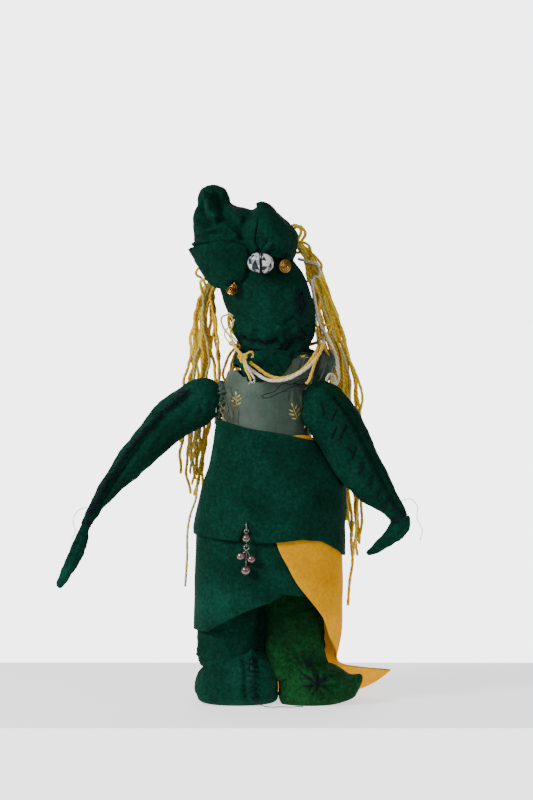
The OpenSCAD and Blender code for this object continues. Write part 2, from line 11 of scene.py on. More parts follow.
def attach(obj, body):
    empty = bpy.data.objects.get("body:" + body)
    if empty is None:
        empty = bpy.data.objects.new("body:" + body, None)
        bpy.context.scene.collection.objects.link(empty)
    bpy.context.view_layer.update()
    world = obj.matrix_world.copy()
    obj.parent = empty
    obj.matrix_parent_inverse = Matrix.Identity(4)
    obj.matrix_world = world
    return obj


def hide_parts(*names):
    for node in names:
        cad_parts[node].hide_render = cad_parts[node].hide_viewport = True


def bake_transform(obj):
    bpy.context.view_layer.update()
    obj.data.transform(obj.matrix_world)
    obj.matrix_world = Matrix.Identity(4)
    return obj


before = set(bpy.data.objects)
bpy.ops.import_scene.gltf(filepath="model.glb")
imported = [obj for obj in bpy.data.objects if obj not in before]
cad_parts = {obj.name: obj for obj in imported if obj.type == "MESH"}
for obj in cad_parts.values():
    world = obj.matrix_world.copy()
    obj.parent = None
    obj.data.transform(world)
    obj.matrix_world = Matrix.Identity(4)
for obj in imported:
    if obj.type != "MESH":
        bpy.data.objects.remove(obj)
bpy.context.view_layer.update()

# Everything below is worked out in millimetres about the figure's own middle line.
SHIFT = np.array([21.5, -9.5, 0.0])  # from that line to the frame's origin
FRONT_Y = -120.0  # in front of everything
GOLDEN_ANGLE = 2.399963
FULL_TURN = 6.28
rnd = random.Random(7)


def metres(p):
    """a point or points of the figure, in the shared frame"""
    return (np.asarray(p, float) + SHIFT) / 1000.0


def millimetres(p):
    """the other way round"""
    return np.asarray(p, float) * 1000.0 - SHIFT


# ---------------------------------------------------------------- camera and stage
scene = bpy.context.scene
DIST = 2.4
TILT = math.radians(2.0)
SENSOR = 36
VIEW_HEIGHT = 0.544  # metres that the frame's height takes in at the figure
aim = Vector(metres([2.4, 0, 206]))
cam_data = bpy.data.cameras.new("camera")
cam_data.sensor_width = SENSOR
cam_data.lens = SENSOR * DIST / VIEW_HEIGHT
camera = bpy.data.objects.new("camera", cam_data)
scene.collection.objects.link(camera)
camera.location = aim + Vector((0, -DIST * math.cos(TILT), DIST * math.sin(TILT)))
camera.rotation_euler = (math.pi / 2 - TILT, 0, 0)
scene.camera = camera


def mesh_object(name, verts, faces, smooth=True):
    """a new mesh in the scene; verts are in metres"""
    me = bpy.data.meshes.new(name)
    me.from_pydata([tuple(v) for v in verts], [], faces)
    me.update()
    me.validate()
    ob = bpy.data.objects.new(name, me)
    scene.collection.objects.link(ob)
    if smooth:
        me.polygons.foreach_set("use_smooth", [True] * len(me.polygons))
    return ob


# ---------------------------------------------------------------- materials
def new_material(name):
    m = bpy.data.materials.new(name)
    m.use_nodes = True
    nt = m.node_tree
    return m, nt, nt.nodes["Principled BSDF"]


def node(nt, kind, **values):
    """a new node; each value goes to the input of that name, or else to the setting"""
    n = nt.nodes.new(kind)
    for k, v in values.items():
        if k in n.inputs:
            n.inputs[k].default_value = v
        else:
            setattr(n, k, v)
    return n


def link(nt, a, out, b, into):
    nt.links.new(a.outputs[out], b.inputs[into])


def coords(nt, scale=(1, 1, 1), turn=(0, 0, 0), source="Object"):
    """texture coordinates, scaled and turned"""
    t = node(nt, "ShaderNodeTexCoord")
    m = node(nt, "ShaderNodeMapping")
    m.inputs["Scale"].default_value = scale
    m.inputs["Rotation"].default_value = turn
    link(nt, t, source, m, "Vector")
    return m


def ramp(nt, stops):
    """a colour ramp from (position, colour) pairs"""
    r = node(nt, "ShaderNodeValToRGB")
    els = r.color_ramp.elements
    while len(els) < len(stops):
        els.new(0.5)
    for e, (pos, c) in zip(els, stops):
        e.position = pos
        e.color = (*c, 1)
    return r


def noise_tex(nt, vec, scale, detail=4, rough=0.55):
    n = node(nt, "ShaderNodeTexNoise", Scale=scale, Detail=detail, Roughness=rough)
    link(nt, vec, "Vector", n, "Vector")
    return n


def math_node(nt, op, a, b=None):
    """a and b are numbers or sockets"""
    n = node(nt, "ShaderNodeMath", operation=op)
    for i, v in enumerate((a, b)):
        if v is None:
            continue
        if isinstance(v, (int, float)):
            n.inputs[i].default_value = v
        else:
            nt.links.new(v, n.inputs[i])
    return n


def weighted(nt, *pairs):
    """the sum of sockets, each times its weight"""
    total = None
    for socket, weight in pairs:
        part = math_node(nt, "MULTIPLY", socket, weight).outputs[0]
        total = part if total is None else math_node(nt, "ADD", total, part).outputs[0]
    return total


def colour_from(nt, b, value, stops):
    r = ramp(nt, stops)
    nt.links.new(value, r.inputs[0])
    link(nt, r, "Color", b, "Base Color")


def bump_from(nt, b, height, strength, distance):
    bp = node(nt, "ShaderNodeBump", Strength=strength, Distance=distance)
    nt.links.new(height, bp.inputs["Height"])
    link(nt, bp, "Normal", b, "Normal")


def rough_from(nt, b, value, gain, base):
    rr = math_node(nt, "MULTIPLY_ADD", value, gain)
    rr.inputs[2].default_value = base
    nt.links.new(rr.outputs[0], b.inputs["Roughness"])


def set_inputs(b, **values):
    """constants on the shader's own sockets; an underscore stands for a space"""
    for k, v in values.items():
        b.inputs[k.replace("_", " ")].default_value = v


def felt_material(name, dark, mid, light, fuzz=0.5, sheen=0.06, bump=0.6):
    """matted fibre: broad mottling, tufts and streaks of fibre"""
    m, nt, b = new_material(name)
    c = coords(nt)
    streak = coords(nt, (1, 1, 0.35), (0.5, 0.4, 0.2))
    broad = noise_tex(nt, c, 28, 3).outputs[0]
    tuft = noise_tex(nt, c, 420, 6, 0.7).outputs[0]
    fibre = noise_tex(nt, streak, 1500, 5, 0.75).outputs[0]
    speck = node(nt, "ShaderNodeTexVoronoi", Scale=900)
    link(nt, c, "Vector", speck, "Vector")
    colour_from(nt, b, weighted(nt, (broad, 0.35), (tuft, 0.4), (fibre, 0.25)),
        [(0.4, dark), (0.5, mid), (0.6, light)])
    h = math_node(nt, "SUBTRACT", weighted(nt, (tuft, 0.8), (fibre, fuzz)),
        math_node(nt, "MULTIPLY", speck.outputs["Distance"], 0.15).outputs[0])
    bump_from(nt, b, h.outputs[0], bump, 0.0009)
    rough_from(nt, b, tuft, 0.15, 0.84)
    set_inputs(b, Sheen_Weight=sheen, Sheen_Roughness=0.5, Sheen_Tint=(*light, 1),
        Specular_IOR_Level=0.06)
    return m


FELT = felt_material("felt_green", (0.0007, 0.0135, 0.0078), (0.0012, 0.029, 0.0165),
    (0.0035, 0.056, 0.034), bump=0.8)
FELT_DEEP = felt_material("felt_deep", (0.0006, 0.009, 0.005), (0.001, 0.016, 0.0095),
    (0.0022, 0.028, 0.018))
MOSS = felt_material("felt_moss", (0.0012, 0.0125, 0.003), (0.0025, 0.03, 0.0075),
    (0.009, 0.072, 0.018), fuzz=0.9, sheen=0.06, bump=1.0)
YELLOW = felt_material("felt_yellow", (0.58, 0.24, 0.0), (0.75, 0.33, 0.0), (0.88, 0.41, 0.0001),
    sheen=0.0, bump=0.45)


def wave_tex(nt, vec, direction, **values):
    n = node(nt, "ShaderNodeTexWave", wave_type="BANDS", bands_direction=direction, **values)
    link(nt, vec, "Vector", n, "Vector")
    return n.outputs["Fac"]


def satin_material():
    """a fine weave with a soft gloss"""
    m, nt, b = new_material("satin")
    c = coords(nt)
    broad = noise_tex(nt, c, 45, 3).outputs[0]
    mist = noise_tex(nt, c, 500, 4, 0.6).outputs[0]
    warp, weft = wave_tex(nt, c, "X", Scale=900), wave_tex(nt, c, "Z", Scale=1100)
    colour_from(nt, b, weighted(nt, (broad, 0.5), (mist, 0.35), (warp, 0.15)),
        [(0.38, (0.018, 0.042, 0.026)), (0.52, (0.032, 0.068, 0.043)),
        (0.66, (0.056, 0.105, 0.07))])
    bump_from(nt, b, math_node(nt, "ADD", warp, weft).outputs[0], 0.22, 0.0003)
    rough_from(nt, b, mist, 0.2, 0.36)
    set_inputs(b, Sheen_Weight=0.3, Anisotropic=0.5, Specular_IOR_Level=0.45)
    return m


SATIN = satin_material()


def yarn_material(name, dark, mid, light, rough=0.85, soft=True):
    """plied yarn, with bands that follow the twist"""
    m, nt, b = new_material(name)
    c = coords(nt)
    broad = noise_tex(nt, c, 60, 2).outputs[0]
    fine = noise_tex(nt, c, 1400, 5, 0.7).outputs[0]
    ply = wave_tex(nt, coords(nt, source="UV"), "DIAGONAL", Scale=1.6, Distortion=1.5, Detail=2)
    colour_from(nt, b, weighted(nt, (broad, 0.45), (fine, 0.3), (ply, 0.25)),
        [(0.32, dark), (0.5, mid), (0.7, light)])
    h = math_node(nt, "ADD", ply, math_node(nt, "MULTIPLY", fine, 0.8).outputs[0])
    bump_from(nt, b, h.outputs[0], 0.6, 0.0005)
    rough_from(nt, b, fine, 0.15, rough - 0.1)
    set_inputs(b, Sheen_Weight=0.3 if soft else 0.0, Subsurface_Weight=0.12 if soft else 0.0,
        Subsurface_Scale=0.001, Specular_IOR_Level=0.2)
    return m


GOLD = yarn_material("yarn_gold", (0.6, 0.29, 0.001), (0.93, 0.54, 0.003), (1.0, 0.72, 0.02))
LEMON = yarn_material("yarn_lemon", (0.74, 0.48, 0.008), (1.0, 0.74, 0.03), (1.0, 0.86, 0.1))
CREAM = yarn_material("yarn_cream", (0.62, 0.53, 0.36), (0.86, 0.78, 0.58), (0.95, 0.9, 0.76))
OLIVE = yarn_material("yarn_olive", (0.36, 0.28, 0.06), (0.6, 0.5, 0.14), (0.76, 0.68, 0.28))
THREAD = yarn_material("thread_purple", (0.001, 0.0008, 0.005), (0.0022, 0.0018, 0.011),
    (0.006, 0.005, 0.026), 0.75, soft=False)
FRAY = yarn_material("fray_olive", (0.05, 0.06, 0.03), (0.14, 0.15, 0.08), (0.3, 0.3, 0.17))
SPRIG = yarn_material("print_gold", (0.6, 0.42, 0.06), (0.9, 0.68, 0.14), (1.0, 0.85, 0.3), 0.6)


def metal_material(name, dark, light, rough, scale=600, metallic=1.0, coat=0.0):
    """metal or pearl with a mottled patina"""
    m, nt, b = new_material(name)
    c = coords(nt)
    patina = noise_tex(nt, c, scale, 5, 0.65).outputs[0]
    fine = noise_tex(nt, c, scale * 4, 3, 0.6).outputs[0]
    colour_from(nt, b, patina, [(0.38, dark), (0.62, light)])
    rough_from(nt, b, patina, 0.25, rough)
    bump_from(nt, b, fine, 0.12, 0.0001)
    set_inputs(b, Metallic=metallic, Coat_Weight=coat)
    return m


BRASS = metal_material("brass", (0.07, 0.028, 0.006), (0.46, 0.26, 0.06), 0.05, 90)
PEARL = metal_material("pearl", (0.11, 0.06, 0.055), (0.24, 0.15, 0.14), 0.12, 180, 0.8, 0.8)
STEEL = metal_material("dark_wire", (0.12, 0.11, 0.1), (0.5, 0.46, 0.42), 0.15)


def crystal_material():
    """cut glass: each facet's colour is a painted reflection, a tone from near black to white that
    stands for another part of the room
    """
    m, nt, b = new_material("crystal")
    # the facet attribute holds each facet's painted reflection tone; the haze varies it a little
    facet_reflection_tone = node(nt, "ShaderNodeAttribute", attribute_name="facet")
    haze = noise_tex(nt, coords(nt), 500, 3)
    t = math_node(nt, "MULTIPLY_ADD", haze.outputs[0], 0.12)
    nt.links.new(facet_reflection_tone.outputs["Fac"], t.inputs[2])
    r = ramp(nt, [(0.1, (0.004, 0.012, 0.014)), (0.3, (0.06, 0.1, 0.12)), (0.5, (0.42, 0.48, 0.55)),
        (0.7, (0.86, 0.9, 0.95)), (0.98, (1, 1, 1))])
    nt.links.new(t.outputs[0], r.inputs[0])
    link(nt, r, "Color", b, "Base Color")
    rr = math_node(nt, "MULTIPLY", haze.outputs[0], 0.03)
    nt.links.new(rr.outputs[0], b.inputs["Roughness"])
    b.inputs["Transmission Weight"].default_value = 0.25
    b.inputs["IOR"].default_value = 1.56
    b.inputs["Specular IOR Level"].default_value = 0.9
    return m


CRYSTAL = crystal_material()


def plain_material(name, colour, glow):
    """the pale stage; glow evens out the light on it"""
    m, nt, b = new_material(name)
    n = noise_tex(nt, coords(nt), 6, 2)
    r = ramp(nt, [(0.3, tuple(x * 0.985 for x in colour)), (0.7, colour)])
    nt.links.new(n.outputs[0], r.inputs[0])
    link(nt, r, "Color", b, "Base Color")
    b.inputs["Roughness"].default_value = 0.9
    b.inputs["Specular IOR Level"].default_value = 0.1
    b.inputs["Emission Color"].default_value = (1, 1, 1, 1)
    b.inputs["Emission Strength"].default_value = glow
    return m


# ---------------------------------------------------------------- curves and surfaces
def spline(points, count):
    """count points along a smooth curve through points, evenly spaced by index"""
    p = np.asarray(points, float)
    q = np.vstack([2 * p[0] - p[1], p, 2 * p[-1] - p[-2]])
    s = np.linspace(0, len(p) - 1 - 1e-9, count)
    i = s.astype(int)
    f = (s - i)[:, None]
    a, b, c, d = q[i], q[i + 1], q[i + 2], q[i + 3]
    return 0.5 * (2 * b + (c - a) * f + (2 * a - 5 * b + 4 * c - d) * f ** 2
        + (3 * b - a - 3 * c + d) * f ** 3)


def even(points, step):
    """the same curve in steps of equal length"""
    p = np.asarray(points, float)
    d = np.r_[0, np.cumsum(np.linalg.norm(np.diff(p, axis=0), axis=1))]
    n = max(2, int(round(d[-1] / step)) + 1)
    t = np.linspace(0, d[-1], n)
    return np.stack([np.interp(t, d, p[:, k]) for k in range(3)], 1)


def table(rows, z):
    """the other columns of rows, looked up at z in their first column"""
    r = np.asarray(rows, float)
    return [np.interp(z, r[:, 0], r[:, k]) for k in range(1, r.shape[1])]


def boxy(v, e=0.8):
    """a sine or cosine pushed towards a square's"""
    return np.sign(v) * np.abs(v) ** e


def grid_faces(m, n, wrap):
    faces = []
    for r in range(m - 1):
        for c in range(n if wrap else n - 1):
            a, b = r * n + c, r * n + (c + 1) % n
            faces.append((a, b, b + n, a + n))
    return faces


def surface(name, grid, wrap=False, cap_low=False, cap_high=False):
    """a mesh from an (m, n, 3) grid in millimetres, rows rising, columns anticlockwise"""
    m, n, _ = grid.shape
    verts = grid.reshape(-1, 3)
    faces = grid_faces(m, n, wrap)
    if cap_low:
        verts = np.vstack([verts, grid[0].mean(0)])
        k = len(verts) - 1
        faces += [(k, (c + 1) % n, c) for c in range(n)]
    if cap_high:
        verts = np.vstack([verts, grid[-1].mean(0)])
        k = len(verts) - 1
        faces += [(k, (m - 1) * n + c, (m - 1) * n + (c + 1) % n) for c in range(n)]
    return mesh_object(name, metres(verts), faces)


def fbm(p, scale, octaves=3, seed=0.0):
    """smooth noise at points in millimetres; scale is the size of its lumps in millimetres"""
    out = np.empty(len(p))
    for i, q in enumerate(p):
        out[i] = noise.fractal(Vector((q[0] / scale + seed, q[1] / scale - seed, q[2] / scale)),
            1.0, 2.0, octaves)
    return out


def along(p, line):
    """distance from points (k, 2) to a polyline in the front view, and how far along it"""
    line = np.asarray(line, float)
    best = np.full(len(p), 1e9)
    where = np.zeros(len(p))
    for j in range(len(line) - 1):
        a, d = line[j], line[j + 1] - line[j]
        t = np.clip(((p - a) @ d) / (d @ d), 0, 1)
        e = np.linalg.norm(p - (a + t[:, None] * d), axis=1)
        near = e < best
        best[near] = e[near]
        where[near] = ((j + t) / (len(line) - 1))[near]
    return best, where


def crease(p, line, depth, width, fade=0.15):
    """a groove (depth > 0) or ridge (depth < 0) along a line in the front view"""
    d, w = along(p[:, [0, 2]], line)
    ends = np.clip(w / fade, 0, 1) * np.clip((1 - w) / fade, 0, 1)
    return -depth * np.exp(-(d / width) ** 2) * ends


def creases(p, rows):
    """the sum of several creases, each given as (line, depth, width) or with its fade"""
    return sum(crease(p, *row) for row in rows)


def normals_of(ob):
    n = np.zeros(len(ob.data.vertices) * 3)
    ob.data.vertices.foreach_get("normal", n)
    return n.reshape(-1, 3)


def points_of(ob):
    co = np.zeros(len(ob.data.vertices) * 3)
    ob.data.vertices.foreach_get("co", co)
    return millimetres(co.reshape(-1, 3))


def move_to(ob, p):
    ob.data.vertices.foreach_set("co", metres(p).ravel())
    ob.data.update()


def push(ob, amount):
    """moves each point out along its normal by amount millimetres"""
    move_to(ob, points_of(ob) + normals_of(ob) * np.asarray(amount)[:, None])


def bake(ob):
    """applies every modifier"""
    bpy.context.view_layer.update()
    deps = bpy.context.evaluated_depsgraph_get()
    me = bpy.data.meshes.new_from_object(ob.evaluated_get(deps))
    ob.modifiers.clear()
    ob.data = me


def solidify(ob, thick, offset=-1.0):
    """gives a sheet its thickness in millimetres"""
    s = ob.modifiers.new("thick", "SOLIDIFY")
    s.thickness = thick / 1000
    s.offset = offset
    s.use_even_offset = True
    bake(ob)
    ob.data.polygons.foreach_set("use_smooth", [True] * len(ob.data.polygons))


def cover(ob, mat):
    """gives an object one material"""
    ob.data.materials.clear()
    ob.data.materials.append(mat)


def paint(ob, mat):
    cover(ob, mat)


def cushion(ob, mat, nodes, body=None):
    """a padded piece: its material, the CAD nodes it stands for and its body"""
    paint(ob, mat)
    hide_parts(*nodes)
    if body:
        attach(ob, body)


def cloth(ob, mat, slot, nodes, body, **facts):
    """a sheet: its material, the CAD nodes it stands for, its body and its flat facts, which are
    not used
    """
    paint(ob, mat)
    if nodes:
        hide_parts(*nodes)
    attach(ob, body)


def join(name, obs):
    """several mesh objects as one, each keeping its material"""
    bm = bmesh.new()
    mats = []
    for o in obs:
        start = len(bm.faces)
        bm.from_mesh(o.data)
        bm.faces.ensure_lookup_table()
        for f in bm.faces[start:]:
            m = o.data.materials[f.material_index] if o.data.materials else None
            if m not in mats:
                mats.append(m)
            f.material_index = mats.index(m)
    me = bpy.data.meshes.new(name)
    bm.to_mesh(me)
    bm.free()
    for m in mats:
        me.materials.append(m)
    for o in obs:
        bpy.data.objects.remove(o)
    ob = bpy.data.objects.new(name, me)
    scene.collection.objects.link(ob)
    return ob


def strand(name, path, d, mat, plies=3, taper=0.0, sides=9):
    """a plied yarn along a path in millimetres"""
    p = even(path, max(0.55, d * 0.45))
    m = len(p)
    t = np.gradient(p, axis=0)
    t /= np.linalg.norm(t, axis=1)[:, None]
    u = np.cross([0.13, 0.31, 0.94], t[0])
    if np.linalg.norm(u) < 0.1:
        u = np.cross([1, 0, 0], t[0])
    rings = np.zeros((m, sides, 3))
    uvs = np.zeros((m, sides, 2))
    ang = np.linspace(0, 2 * np.pi, sides, endpoint=False)
    s = np.r_[0, np.cumsum(np.linalg.norm(np.diff(p, axis=0), axis=1))]
    for i in range(m):
        u = u - t[i] * (u @ t[i])
        u /= np.linalg.norm(u)
        v = np.cross(t[i], u)
        lobes = 0.84 + 0.2 * np.abs(np.cos(plies / 2 * (ang - s[i] * 2 * np.pi / (plies * 2.2
            * d))))
        end = min(1, (s[-1] - s[i]) / (3 * d) + 1 - taper, s[i] / (3 * d) + 1 - taper)
        r = d / 2 * lobes * end * (1 + 0.06 * math.sin(s[i] * 0.9 + d))
        rings[i] = p[i] + np.cos(ang)[:, None] * u * r[:, None] + np.sin(ang)[:, None] * v * r[:,
            None]
        uvs[i, :, 0] = ang / (2 * np.pi)
        uvs[i, :, 1] = s[i] / (4 * d)
    ob = surface(name, rings, wrap=True, cap_low=True, cap_high=True)
    me = ob.data
    flat = np.vstack([uvs.reshape(-1, 2), [[0, 0]], [[0, 1]]])
    layer = me.uv_layers.new(name="UVMap")
    idx = np.zeros(len(me.loops), int)
    me.loops.foreach_get("vertex_index", idx)
    layer.data.foreach_set("uv", flat[idx].ravel())
    me.materials.append(mat)
    return ob


def bvh(*obs):
    """the surfaces of objects, in millimetres, for finding points on them"""
    verts, faces = [], []
    for o in obs:
        k = len(verts)
        verts += [tuple(x) for x in points_of(o)]
        faces += [tuple(i + k for i in f.vertices) for f in o.data.polygons]
    return BVHTree.FromPolygons(verts, faces)


def on_front(tree, x, z, lift):
    """the point of a surface seen at x, z from the front, lifted off it"""
    hit, nrm, _, _ = tree.ray_cast(Vector((x, FRONT_Y, z)), Vector((0, 1, 0)))
    if hit is None:
        hit, nrm, _, _ = tree.find_nearest(Vector((x, -30, z)))
    if nrm.y > 0:
        nrm = -nrm
    return np.array(hit) + np.array(nrm) * lift


def stitch_set(name, tree, lines, d):
    """threads laid on a surface, each through a list of (x, z) points seen from the front"""
    lift = arch = 0.35
    out = []
    for k, line in enumerate(lines):
        pts = [on_front(tree, x, z, lift) for x, z in line]
        if len(pts) == 2:
            a, b = pts
            between = [a + (b - a) * f for f in (0.25, 0.5, 0.75)]
            pts = [a, *(on_front(tree, q[0], q[2], lift + arch) for q in between), b]
        out.append(strand(f"{name}_{k}", spline(pts, 6 * len(pts)), d, THREAD, plies=2, sides=6))
    return join(name, out)


# ---------------------------------------------------------------- shared forms (from the CAD)
HEAD = [(250, 8, -3, 25.9, 24.5), (257, 7, -3, 28.1, 27), (264, 6, -3, 29.3, 28.5),
    (272, 4, -3, 30.5, 29.5), (282, 1.2, -3, 30.4, 30), (292, -3, -3, 30, 29.5),
    (302, -8, -3, 28, 28), (312, -11.5, -3, 25.3, 25), (320, -13, -3, 22, 21),
    (326, -15, -3, 16.5, 16), (330, -16, -3, 10.4, 10), (332, -17, -3, 3.7, 3.5)]
SOCK = [(104, 3, 0, 34, 28), (140, 4, 0, 33, 27), (175, 3, 0, 29.5, 25.5), (200, 2, 0, 28.5, 24.5),
    (217, 3, 0, 27.5, 23)]
WRAP = [(96, 4, 0, 52, 42), (120, 4, 0, 52, 41), (134, 6, 0, 51, 40), (149, 8, 0, 49, 38),
    (160, 6.2, 0, 43.7, 36), (178, 3.2, 0, 37.2, 31.5), (196, 2, 0, 33.5, 29)]
UNDER = [(46, 1.5, 0, 49, 43.5), (75, 2, 0, 49, 41), (98, 2.5, 0, 49, 37.2),
    (120, 3.5, 0, 48.9, 36.2), (150, 7.2, 0, 45, 33.6)]


def round_form(name, rows, count, n):
    """a closed form from oval rows (z, x, y, half width, half depth)"""
    rows = spline(rows, count)
    rows = rows[np.argsort(rows[:, 0], kind="stable")]
    a = np.linspace(0, 2 * np.pi, n, endpoint=False)
    g = np.stack([np.stack([r[1] + r[3] * np.cos(a), r[2] + r[4] * np.sin(a), np.full(n, r[0])],
        1) for r in rows])
    return surface(name, g, wrap=True, cap_low=True, cap_high=True)


def limb_form(name, stations, count, n):
    """a closed form along stations (x, y, z, half width, half depth)"""
    s = spline(stations, count)
    p = s[:, :3]
    t = np.gradient(p, axis=0)
    t /= np.linalg.norm(t, axis=1)[:, None]
    u = np.cross([0, 1, 0], t)
    u /= np.linalg.norm(u, axis=1)[:, None]
    v = np.cross(t, u)
    a = np.linspace(0, 2 * np.pi, n, endpoint=False)
    g = (p[:, None] + np.cos(a)[None, :, None] * u[:, None] * s[:, 3][:, None, None]
        + np.sin(a)[None, :, None] * v[:, None] * s[:, 4][:, None, None])
    return surface(name, g, wrap=True, cap_low=True, cap_high=True)


# ---------------------------------------------------------------- cords round the neck
NECKLACE = [(-12, -27.5, 235), (-17, -20, 240), (-21, -8, 245), (-22, 8, 244), (-14, 21, 241),
    (0, 27.3, 240), (14, 27.3, 240), (28, 21, 242), (37, 8, 245), (38, -6, 244), (34, -20, 236),
    (26, -27.5, 227), (15, -30.5, 222), (5, -30.5, 223), (-4, -30, 229), (-9, -29.5, 232.5)]
CREAM_ROUTE = [(40, 4, 248), (41, -6, 246), (38, -19, 238), (30, -28.5, 229), (17, -33, 221.5),
    (4, -33, 220.5), (-6, -31.5, 226), (-12, -30.5, 231)]


def with_hair(ob):
    """fixes the hair where it is: its placement goes into its mesh, and no body carries it"""
    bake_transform(ob)


def yarn(name, points, d, mat, body="torso", nodes=(), plies=3):
    """a cord of its own through points"""
    path = spline(points, 10 * len(points))
    ob = strand(name, path, d, mat, plies=plies)
    if nodes:
        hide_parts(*nodes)
    if body == "hair":
        with_hair(ob)
    else:
        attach(ob, body)


yarn("necklace_gold", NECKLACE, 2.3, GOLD, nodes=["necklace_yellow"])
yarn("necklace_pale", CREAM_ROUTE, 2.3, CREAM, nodes=["necklace_cream"])

# ---------------------------------------------------------------- head
head = round_form("head_felt_form", HEAD, 90, 150)
p = points_of(head)
xz = p[:, [0, 2]]
front = np.clip(-(p[:, 1] + 3) / 12, 0, 1)
push(head, front * (creases(p, [([(-21, 287), (-10, 289), (2, 290.5), (10, 294)], 0.9, 1.7),
    ([(-20, 284), (-9, 286), (2, 287.5), (9, 291)], -0.7, 2.2), ([(24, 266), (16, 259), (11, 252),
    (8, 249)], 1.6, 1.9), ([(-14, 262), (-4, 258), (4, 253), (9, 251)], 0.9, 1.6),
    ([(6, 268), (10, 260), (12, 253)], 1.0, 1.6), ([(28, 283), (24, 276), (25, 268), (27, 262)],
    0.8, 1.6)]) - 1.5 * np.exp(-((xz[:, 0] - 14) / 5) ** 2 - ((xz[:, 1] - 303) / 4) ** 2) + 0.9
    * np.exp(-((xz[:, 0] - 3) / 9) ** 2 - ((xz[:, 1] - 272) / 10) ** 2)) + fbm(p, 17, 3, 3.1) * 0.7)
cushion(head, FELT, ["head_felt", "head_stuffing"], "head")
head_tree = bvh(head)

# the headdress: a stitched dome, a flap turned up over the brow and a lobe folded across
DOME = [(288, -12, -2, 30.5, 30), (296, -13, -2, 33, 32.5), (304, -15, -2, 32.4, 32),
    (313, -15.2, -2, 31.8, 30.5), (323, -17, -2, 30, 27.5), (330, -21, -2, 26, 23.5),
    (334.5, -26.5, -2, 20, 18.5), (338.5, -32.5, -2, 12.2, 13), (344, -33.2, -2, 10.6, 11),
    (348.5, -33.4, -2, 8.8, 8.8), (351, -33, -2, 5.4, 5.2), (352, -32.8, -2, 2, 2)]


def gathers(p, line, count, half, depth, seed):
    """short folds pulled in across a seam"""
    r = random.Random(seed)
    pts = spline([(x, z, 0) for x, z in line], count + 2)
    total = 0.0
    for i in range(1, count + 1):
        t = pts[i + 1] - pts[i - 1]
        t /= np.linalg.norm(t)
        n = np.array([-t[1], t[0]]) * half * r.uniform(0.6, 1.3)
        skew = t[:2] * r.uniform(-1.5, 1.5)
        c = pts[i, :2]
        total = total + crease(p, [tuple(c - n - skew), tuple(c + n + skew)],
            depth * r.uniform(0.5, 1.2), 0.9)
    return total


dome = round_form("headdress_dome", DOME, 150, 260)
p = points_of(dome)
low = 299 + 0.12 * p[:, 0]
tuck = np.clip((low + 7 - p[:, 2]) / 9, 0, 1)
q = p.copy()
q[:, 2] = np.where(q[:, 2] < low, low - (low - q[:, 2]) * 0.3, q[:, 2])
move_to(dome, q)
p = points_of(dome)
front = np.clip(-(p[:, 1] + 2) / 6, -0.25, 1)
push(dome, -3.4 * tuck + front * (creases(p, [([(-37.6, 346), (-36, 338), (-34, 331), (-28.5, 326)],
    -8.0, 2.5, 0.06), ([(-42, 347), (-41.5, 337), (-40, 329), (-36, 323)], 3.4, 2.2),
    ([(-30, 347), (-29, 340), (-27, 333), (-23, 328)], 3.6, 2.6), ([(-41, 347.5), (-35, 349.5),
    (-28, 347)], 1.6, 1.7), ([(-28, 326), (-22, 320.5), (-15.6, 315)], -3.0, 1.6),
    ([(-25, 330), (-19, 325), (-12, 319)], 1.6, 2.4), ([(-46, 326), (-38, 320.5), (-28, 322)],
    -2.4, 1.5), ([(-46, 330), (-38, 325), (-30, 326)], 1.8, 2.2), ([(-44, 316), (-32, 314.5),
    (-20, 318)], 1.0, 2.2), ([(-22, 336), (-18, 331), (-12, 328)], -1.0, 1.3),
    ([(-50, 311), (-39, 313.6), (-28.5, 315.2), (-19.5, 314.6), (-10.5, 311.5)], -2.6, 1.5, 0.05),
    ([(-50, 314.5), (-39, 317.5), (-28.5, 319), (-19.5, 318)], 0.9, 1.6),
    ([(-44, 340), (-40, 344), (-37, 349)], -1.0, 0.9), ([(-28, 349), (-27, 343), (-29, 336)],
    -1.0, 0.9), ([(-36, 351), (-34, 346), (-35, 341)], -1.2, 0.9)]) + gathers(p, [(-43, 345),
    (-37, 341), (-31, 340), (-25, 343)], 7, 3.0, 0.7, 9) + crease(p, [(-1.5, 338), (-4.5, 328),
    (-7.5, 319), (-8, 311), (-3, 303)], -7.5, 3.2) + crease(p, [(-11, 333), (-12.5, 322),
    (-13, 312)], 1.8, 2.8)) + fbm(p, 14, 3, 8.2) * 1.0 + fbm(p, 5, 2, 1.2) * 0.35)
cushion(dome, FELT, ["peak_fold", "crown_fold"], "head")


def net(control, m, n):
    """a smooth grid through a small grid of control points"""
    across = np.stack([spline(row, n) for row in control])
    return np.stack([spline(across[:, j], m) for j in range(n)], 1)


flap = net([[(-15.5, -29, 284), (-22, -30, 282.2), (-28, -29, 282), (-33.5, -25.5, 283.8),
    (-38.5, -19, 288.5), (-39, -10, 291)], [(-12.5, -33, 292), (-20, -34.5, 291.5),
    (-28, -33.5, 292), (-35.5, -28.5, 293), (-42, -19, 296), (-43, -9, 297)],
    [(-10.2, -35.5, 301), (-19, -37.5, 301), (-28.5, -36.5, 302), (-38, -31, 302.5),
    (-45.5, -18, 303), (-46.5, -8, 303)], [(-11.5, -37, 309.5), (-19.5, -39, 312.5),
    (-28.5, -38.2, 313), (-39, -32, 311.5), (-49.4, -17.5, 309), (-47.5, -6, 308)]], 60, 90)
brow = surface("brow_flap_felt", flap)
p = points_of(brow)
push(brow, fbm(p, 13, 3, 5.5) * 0.7 + crease(p, [(-24, 312), (-26, 303), (-24, 294)],
    0.5, 3) + crease(p, [(-38, 309), (-35, 301), (-30, 290)], -0.5, 2.2))
solidify(brow, 1.9, 0.0)
cloth(brow, FELT, "felt_green", ["brow_flap"], "head", flat=(0.05, 0.031),
    held="folded", rests_on=["headdress_dome"])

